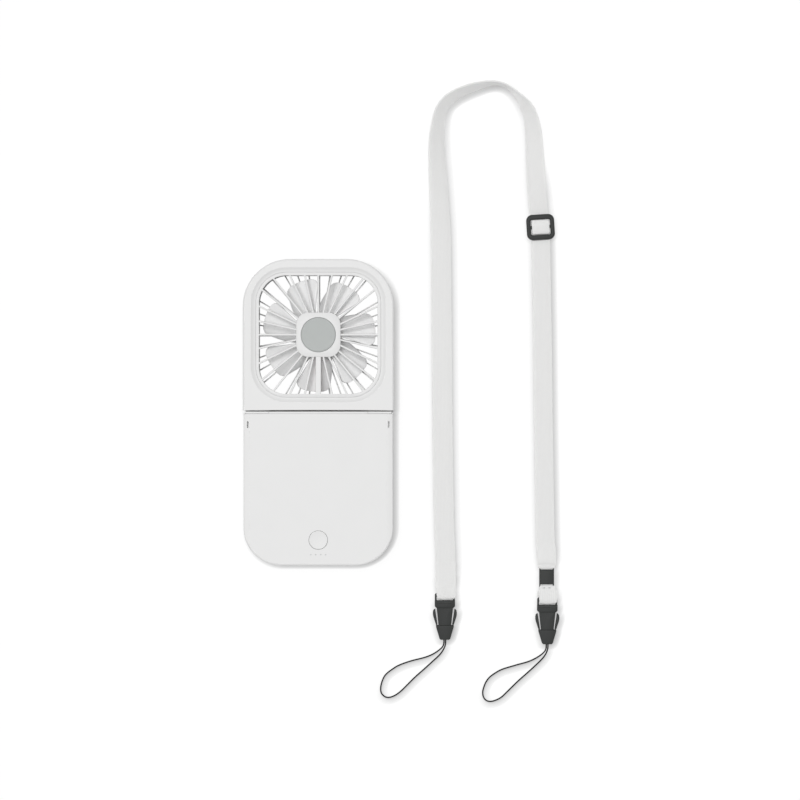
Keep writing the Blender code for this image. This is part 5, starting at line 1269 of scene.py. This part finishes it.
class FAN_OT_body_case(bpy.types.Operator):
    """Makes the handle's two shells and its screws"""
    bl_idname = "fan.body_case"
    bl_label = "Handle Case"

    def execute(self, context):
        corner = context.scene.fan_case.body_corner
        width, far = 2 * BODY_HIGH.x, -BODY_LOW.y
        for front in (True, False):
            name = "handle_front" if front else "handle_rear"
            shell = case_half(name, width, far, corner, -1, front)
            cavity = half_outline(width, far, corner, -1, WALL)
            low, high = (SPLIT - MM, FRONT - WALL) if front else (WALL, SPLIT + MM)
            shaped(shell, [plate("cavity", [cavity], low, high)])
            if front:
                self.slope_sides(context, shell)
                self.cut_front(shell)
                seat(shell, "handle", "white_shell", "body_front_shell")
            else:
                rear_bosses(shell, "body_screw", boss=2.8 * MM, hole=1.3 * MM, seat_radius=2.1 * MM)
            fit_hinge(shell, -1, front)
            self.cut_port(shell, far)
            if not front:
                seat(shell, "handle", "white_shell", "body_rear_shell")
            flatten(shell)
        make_screws("body_screw", "handle", radius=1.0 * MM, head=1.8 * MM)
        return {"FINISHED"}

    def slope_sides(self, context, shell):
        """The front face falls a little towards the long sides."""
        case = context.scene.fan_case
        start = BODY_HIGH.x - case.side_reach
        outline = [(start, FRONT + MM)]
        for i in range(9):
            part = i / 8
            outline.append((start + case.side_reach * part, FRONT + 0.01 * MM - case.side_fall * part ** 2))
        outline += [(BODY_HIGH.x + MM, outline[-1][1]), (BODY_HIGH.x + MM, FRONT + MM)]
        turn = Matrix.Rotation(math.pi / 2, 4, "X")
        sides = [[(side * x, z) for x, z in outline] for side in (1, -1)]
        shaped(shell, [plate("slope", [side], -3 * MM, -BODY_LOW.y + MM, turn=turn) for side in sides])

    def cut_front(self, shell):
        """The lanyard slots with their pockets, the button's hole and the lamps' holes."""
        y_low, y_high, floor, margin = -7.5 * MM, -4.3 * MM, FRONT - 4.6 * MM, 1.5 * MM
        pockets, cutters = [], []
        for side in (1, -1):
            x = side * (BODY_HIGH.x - 2.1 * MM)
            inner, wall = x - side * 2 * MM, side * (BODY_HIGH.x - 0.9 * MM)
            near, far = sorted((inner, wall))
            pockets.append(block("pocket", (near, y_low - margin, floor - margin),
                                 (far, y_high + margin, FRONT - 0.9 * MM)))
            slot = rounded_box(0.75 * MM, y_high - y_low, 0.35 * MM, (x, (y_low + y_high) / 2), 5)
            cutters.append(plate("face_slot", [slot], floor, FRONT + MM))
            near, far = sorted((x, side * (BODY_HIGH.x + MM)))
            cutters.append(block("side_slot", (near, y_low, floor), (far, y_high, FRONT - 1.8 * MM)))
        button_y = ((BUTTON_LOW + BUTTON_HIGH) / 2).y
        hole_radius = BUTTON_RADIUS + 0.07 * MM
        cutters.append(post("button_hole", hole_radius, (0, button_y), SPLIT, FRONT + MM, 96))
        guide_low, guide_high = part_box("led_light_guide")
        lamp_y = (guide_low.y + guide_high.y) / 2
        for i in range(4):
            place = (2.4 * MM * (i - 1.5), lamp_y)
            cutters.append(post("lamp_hole", 0.31 * MM, place, SPLIT + MM, FRONT + MM, 20))
        shaped(shell, pockets, "UNION")
        shaped(shell, cutters)

    def cut_port(self, shell, far):
        """The charging socket's mouth in the end wall, half in each shell."""
        low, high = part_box("usb_c_socket")
        outline = rounded_box(high.x - low.x + 2 * FIT, high.z - low.z + 2 * FIT, 1.6 * MM, steps=8)
        turn = Matrix.Translation((0, 0, (low.z + high.z) / 2)) @ Matrix.Rotation(math.pi / 2, 4, "X")
        shaped(shell, [plate("port", [outline], far - 2 * WALL, far + WALL, turn=turn)])


class FAN_OT_button(bpy.types.Operator):
    """Makes the power button with its stem and flange"""
    bl_idname = "fan.button"
    bl_label = "Power Button"

    def execute(self, context):
        middle = (BUTTON_LOW + BUTTON_HIGH) / 2
        top, bottom, rim = BUTTON_HIGH.z, BUTTON_LOW.z, BUTTON_HIGH.x
        hollow, rounding, stem = 0.22 * MM, 0.4 * MM, 1.5 * MM
        flange_top = FRONT - WALL - FIT
        flange_bottom = flange_top - 0.9 * MM
        profile = [
            (BUTTON_RADIUS * part, top - hollow * (1 - part ** 2)) for part in (0, 0.25, 0.5, 0.7, 0.85)
        ]
        profile += arc((BUTTON_RADIUS - rounding, top - rounding), rounding, 90, 0, 4)
        profile += [
            (BUTTON_RADIUS, flange_top), (rim, flange_top), (rim, flange_bottom), (stem, flange_bottom),
            (stem, bottom), (0, bottom),
        ]
        button = turned("round_button", profile, (0, middle.y), 96)
        seat(button, "button", "white_shell", "power_button")
        return {"FINISHED"}


class FAN_OT_head_case(bpy.types.Operator):
    """Makes the head's two frames and its screws"""
    bl_idname = "fan.head_case"
    bl_label = "Head Case"

    def execute(self, context):
        corner = context.scene.fan_case.head_corner
        width, far = 2 * HEAD_HIGH.x, HEAD_HIGH.y
        for front in (True, False):
            name = "head_front" if front else "head_rear"
            shell = case_half(name, width, far, corner, 1, front)
            ring = [half_outline(width, far, corner, 1, WALL), air_outline(WALL)]
            low, high = (SPLIT - MM, FRONT - WALL) if front else (WALL, SPLIT + MM)
            shaped(shell, [plate("ring", ring, low, high)])
            if not front:
                rear_bosses(shell, "head_screw", boss=1.9 * MM, hole=1.0 * MM, seat_radius=1.6 * MM)
            shaped(shell, [plate("air_way", [air_outline(0)], -MM, FRONT + MM)])
            shaped(shell, [plate("wide_way", [air_outline(1.1 * MM)], REAR_GRILLE_HIGH.z + MM, GRILLE_LOW.z)])
            shaped(shell, [self.front_seat(context) if front else self.rear_seat()])
            fit_hinge(shell, 1, front)
            seat(shell, "head", "white_shell", f"{name}_frame")
            flatten(shell)
        make_screws("head_screw", "head", radius=0.7 * MM, head=1.3 * MM)
        return {"FINISHED"}

    def front_seat(self, context):
        """The grille's seat and the shallow hollow dish that widens to the front face."""
        dish, seat_top = context.scene.fan_air.dish_width, FRONT - RIM_DROP
        levels = [(GRILLE_LOW.z + 2.0 * MM - FIT, SEAT_MARGIN), (seat_top, SEAT_MARGIN)]
        for i in range(1, 7):
            part = i / 6
            levels.append((seat_top + RIM_DROP * part ** 1.6, SEAT_MARGIN + dish * (part * 1.1) ** 0.9))
        levels.append((FRONT + MM, SEAT_MARGIN + dish * 1.3 + MM))
        return air_loft("front_seat", levels)

    def rear_seat(self):
        """The rear grille's seat, with a chamfer at the back."""
        top, chamfer_margin = REAR_GRILLE_HIGH.z + FIT, 2.2 * MM
        return air_loft("rear_seat", [
            (-MM, chamfer_margin + MM), (0, chamfer_margin), (0.8 * MM, SEAT_MARGIN), (top, SEAT_MARGIN),
        ])


# Grilles, hub and impeller

def square_edge(angle, offset, width, corner):
    """Where the side of a spoke meets a rounded square round the air centre."""
    direction = Vector((math.cos(angle), math.sin(angle)))
    normal = Vector((-direction.y, direction.x))
    half, inner = width / 2, width / 2 - corner
    low, high = 0.0, width
    for _ in range(40):
        middle = (low + high) / 2
        x, y = (abs(value) for value in direction * middle + normal * offset)
        if x > inner and y > inner:
            outside = math.hypot(x - inner, y - inner) > corner
        else:
            outside = max(x, y) > half
        low, high = (low, middle) if outside else (middle, high)
    return direction * low + normal * offset


def between(first, second, width, corner, steps):
    """Points on a rounded square between two of its points, counter-clockwise."""
    start, end = math.atan2(first.y, first.x), math.atan2(second.y, second.x)
    if end < start:
        end += math.tau
    return [square_edge(start + (end - start) * i / steps, 0, width, corner) for i in range(1, steps)]


def grille_gaps(count, width, hub, hub_corner, reach=0.0, lead=None):
    """The gaps between the spokes, each an outline between the hub and the rim."""
    air = bpy.context.scene.fan_air
    rim = (air.opening - 2 * reach, air.opening_corner - reach)
    inner = (hub, hub_corner)
    gaps = []
    for i in range(count):
        angles = [math.tau * (i + k) / count - math.pi / 2 for k in (0, 1)]
        halves = [(lead if lead and (i + k) % count == 0 else width) / 2 for k in (0, 1)]
        rim_a, rim_b = (square_edge(a, s * h, *rim) for a, s, h in zip(angles, (1, -1), halves))
        hub_a, hub_b = (square_edge(a, s * h, *inner) for a, s, h in zip(angles, (1, -1), halves))
        points = [hub_a, rim_a] + between(rim_a, rim_b, *rim, 5) + [rim_b, hub_b]
        points += list(reversed(between(hub_a, hub_b, *inner, 3)))
        gaps.append([(point.x, point.y + AIR_CENTRE) for point in points])
    return gaps


def lead_channel(far):
    """The groove behind the thick spoke, where the motor's leads run."""
    low, half_width, near = GRILLE_LOW.z, 0.75 * MM, AIR_CENTRE - 8.3 * MM
    return block("channel", (-half_width, far, low - FIT), (half_width, near, low + 1.6 * MM))


class FAN_OT_grilles(bpy.types.Operator):
    """Makes the front grille with its hub, the badge and the rear grille"""
    bl_idname = "fan.grilles"
    bl_label = "Grilles and Hub"

    def execute(self, context):
        air = context.scene.fan_air
        rim_top, rim_depth = FRONT - RIM_DROP, 1.6 * MM
        hub_width, hub_corner = air.hub - MM, air.hub_corner - 0.5 * MM
        outlines = [air_outline(RIM_MARGIN)]
        outlines += grille_gaps(air.spokes, air.spoke, hub_width, hub_corner, air.rim, air.lead_spoke)
        grille = plate("front_spokes", outlines, rim_top - rim_depth, rim_top, 0.25 * MM)
        hub_outline = rounded_box(air.hub, air.hub, air.hub_corner, (0, AIR_CENTRE))
        hub = plate("hub", [hub_outline], GRILLE_LOW.z, GRILLE_HIGH.z, 0.5 * MM)
        rim_edge, duct_half = AIR_CENTRE - air.opening / 2, air.lead_spoke / 2 - 0.25 * MM
        duct = block("duct", (-duct_half, rim_edge + FIT, rim_top - 3.3 * MM),
                     (duct_half, AIR_CENTRE - 9.2 * MM, rim_top - 0.8 * MM))
        shaped(grille, [hub, duct], "UNION")
        centre, badge_radius = (0, AIR_CENTRE), (BADGE_HIGH.x - BADGE_LOW.x) / 2
        top, floor, wall = GRILLE_HIGH.z, BADGE_LOW.z - FIT, badge_radius + 0.06 * MM
        recess = turned("recess", [
            (0, floor), (wall, floor), (wall, top - 0.15 * MM), (badge_radius + 0.2 * MM, top),
            (badge_radius + 1.2 * MM, top + MM), (0, top + MM),
        ], centre, 96)
        motor = post("motor", MOTOR_ROOM, centre, GRILLE_LOW.z - MM, floor - 1.7 * MM, 64)
        shaped(grille, [recess, motor, lead_channel(rim_edge - MM)])
        seat(grille, "head", "white_shell", "front_grille")
        self.add_badge(centre, badge_radius)
        self.add_rear(air)
        return {"FINISHED"}

    def add_badge(self, centre, radius):
        """The disc on the hub, a little lower in its middle, with a round edge."""
        top, rounding = BADGE_HIGH.z, 0.25 * MM
        profile = [(0, top - 0.06 * MM), (radius * 0.6, top - 0.05 * MM), (radius * 0.9, top - 0.02 * MM)]
        profile += arc((radius - rounding, top - rounding), rounding, 90, 0, 3)
        profile += [(radius, BADGE_LOW.z), (0, BADGE_LOW.z)]
        seat(turned("badge_disc", profile, centre, 96), "head", "grey_badge", "hub_badge")

    def add_rear(self, air):
        """The flat rear grille."""
        outlines = [air_outline(REAR_RIM_MARGIN)]
        outlines += grille_gaps(air.rear_spokes, air.rear_spoke, air.hub, air.hub_corner)
        grille = plate("rear_spokes", outlines, REAR_GRILLE_LOW.z, REAR_GRILLE_HIGH.z, 0.18 * MM)
        seat(grille, "head", "white_shell", "rear_grille")


def blade(index, air):
    """One pitched blade with a round-cornered tip, its two faces from one curved sheet."""
    across, outwards = 14, 12
    top, drop = IMPELLER_HIGH.z - 0.5 * MM, 8.4 * MM
    root, tip_rounding = 9.7 * MM, 2.4 * MM
    start = 39.4 + index * 360 / air.blades
    root_lean, tip_span, root_spread = 8.0, 37.0, 21.0
    bm = bmesh.new()
    grid = []
    for i in range(outwards + 1):
        out = i / outwards
        lean = root_lean * (1 - out) ** 1.5
        span = tip_span + root_spread * (1 - out) ** 1.3
        row = []
        for j in range(across + 1):
            part = j / across
            tip = air.blade_reach - tip_rounding * abs(2 * part - 1) ** 6
            radius = root + (tip - root) * out
            angle = math.radians(start + lean + (span - lean) * part)
            x, y = radius * math.cos(angle), AIR_CENTRE + radius * math.sin(angle)
            height = top - drop * (part + 0.05 * math.sin(math.tau * part))
            row.append(bm.verts.new((x, y, height)))
        grid.append(row)
    for low, high in zip(grid, grid[1:]):
        for j in range(across):
            bm.faces.new((low[j], high[j], high[j + 1], low[j + 1]))
    sheet = object_of(f"blade_{index}", bm)
    skin = sheet.modifiers.new("thickness", "SOLIDIFY")
    skin.thickness = 0.9 * MM
    skin.offset = 0
    edge = sheet.modifiers.new("edge", "BEVEL")
    edge.width = 0.25 * MM
    edge.segments = 2
    edge.angle_limit = math.radians(50)
    soften(applied(sheet).data)
    return sheet


class FAN_OT_impeller(bpy.types.Operator):
    """Makes the impeller with its pitched blades"""
    bl_idname = "fan.impeller"
    bl_label = "Impeller"

    def execute(self, context):
        air = context.scene.fan_air
        top, bottom, floor = IMPELLER_HIGH.z, 6.6 * MM, 8.0 * MM
        bore, radius, rounding = 1.3 * MM, 10.4 * MM, 0.8 * MM
        profile = [(bore, bottom)]
        profile += arc((radius - rounding, bottom + rounding), rounding, -90, 0, 4)
        profile += [(radius, top), (MOTOR_ROOM, top), (MOTOR_ROOM, floor), (bore, floor)]
        rings = []
        for i in range(72):
            turn = math.tau * i / 72
            rings.append([(r * math.cos(turn), AIR_CENTRE + r * math.sin(turn), z) for r, z in profile])
        hub = loft("impeller_turned", rings, closed=True)
        shaped(hub, [blade(i, air) for i in range(air.blades)], "UNION")
        seat(hub, "rotor", "white_blade", "impeller")
        return {"FINISHED"}


class FAN_OT_inner_parts(bpy.types.Operator):
    """Gives each part that keeps its own shape the finish of its slot"""
    bl_idname = "fan.inner_parts"
    bl_label = "Inner Parts"

    def execute(self, context):
        for entry in frame["record"]["subparts"]:
            part = frame["nodes"][entry["node"]]
            part.data.materials.clear()
            part.data.materials.append(finish_of(entry["material_slot"]))
        return {"FINISHED"}


class FAN_PT_panel(bpy.types.Panel):
    """The fan's pieces, their sizes and their colours"""
    bl_label = "Pocket Fan"
    bl_space_type = "VIEW_3D"
    bl_region_type = "UI"
    bl_category = "Pocket Fan"

    def draw(self, context):
        for operator in OPERATORS:
            self.layout.operator(operator.bl_idname)
        for name, group in SETTINGS.items():
            box = self.layout.box()
            settings = getattr(context.scene, name)
            for key in group.__annotations__:
                box.prop(settings, key)


OPERATORS = (
    FAN_OT_stage, FAN_OT_buckles, FAN_OT_strap_hardware, FAN_OT_strap_loops, FAN_OT_cords,
    FAN_OT_neck_strap, FAN_OT_body_case, FAN_OT_button, FAN_OT_head_case, FAN_OT_grilles, FAN_OT_impeller,
    FAN_OT_inner_parts,
)
CLASSES = (*SETTINGS.values(), *OPERATORS, FAN_PT_panel)


def register():
    for each in CLASSES:
        bpy.utils.register_class(each)
    for name, group in SETTINGS.items():
        setattr(bpy.types.Scene, name, PointerProperty(type=group))


def unregister():
    for name in SETTINGS:
        delattr(bpy.types.Scene, name)
    for each in reversed(CLASSES):
        bpy.utils.unregister_class(each)


def main():
    register()
    bpy.ops.fan.stage()
    bpy.ops.fan.buckles()
    bpy.ops.fan.strap_hardware()
    bpy.ops.fan.strap_loops()
    bpy.ops.fan.cords()
    bpy.ops.fan.neck_strap()
    bpy.ops.fan.body_case()
    bpy.ops.fan.button()
    bpy.ops.fan.head_case()
    bpy.ops.fan.grilles()
    bpy.ops.fan.impeller()
    bpy.ops.fan.inner_parts()


if __name__ == "__main__":
    main()
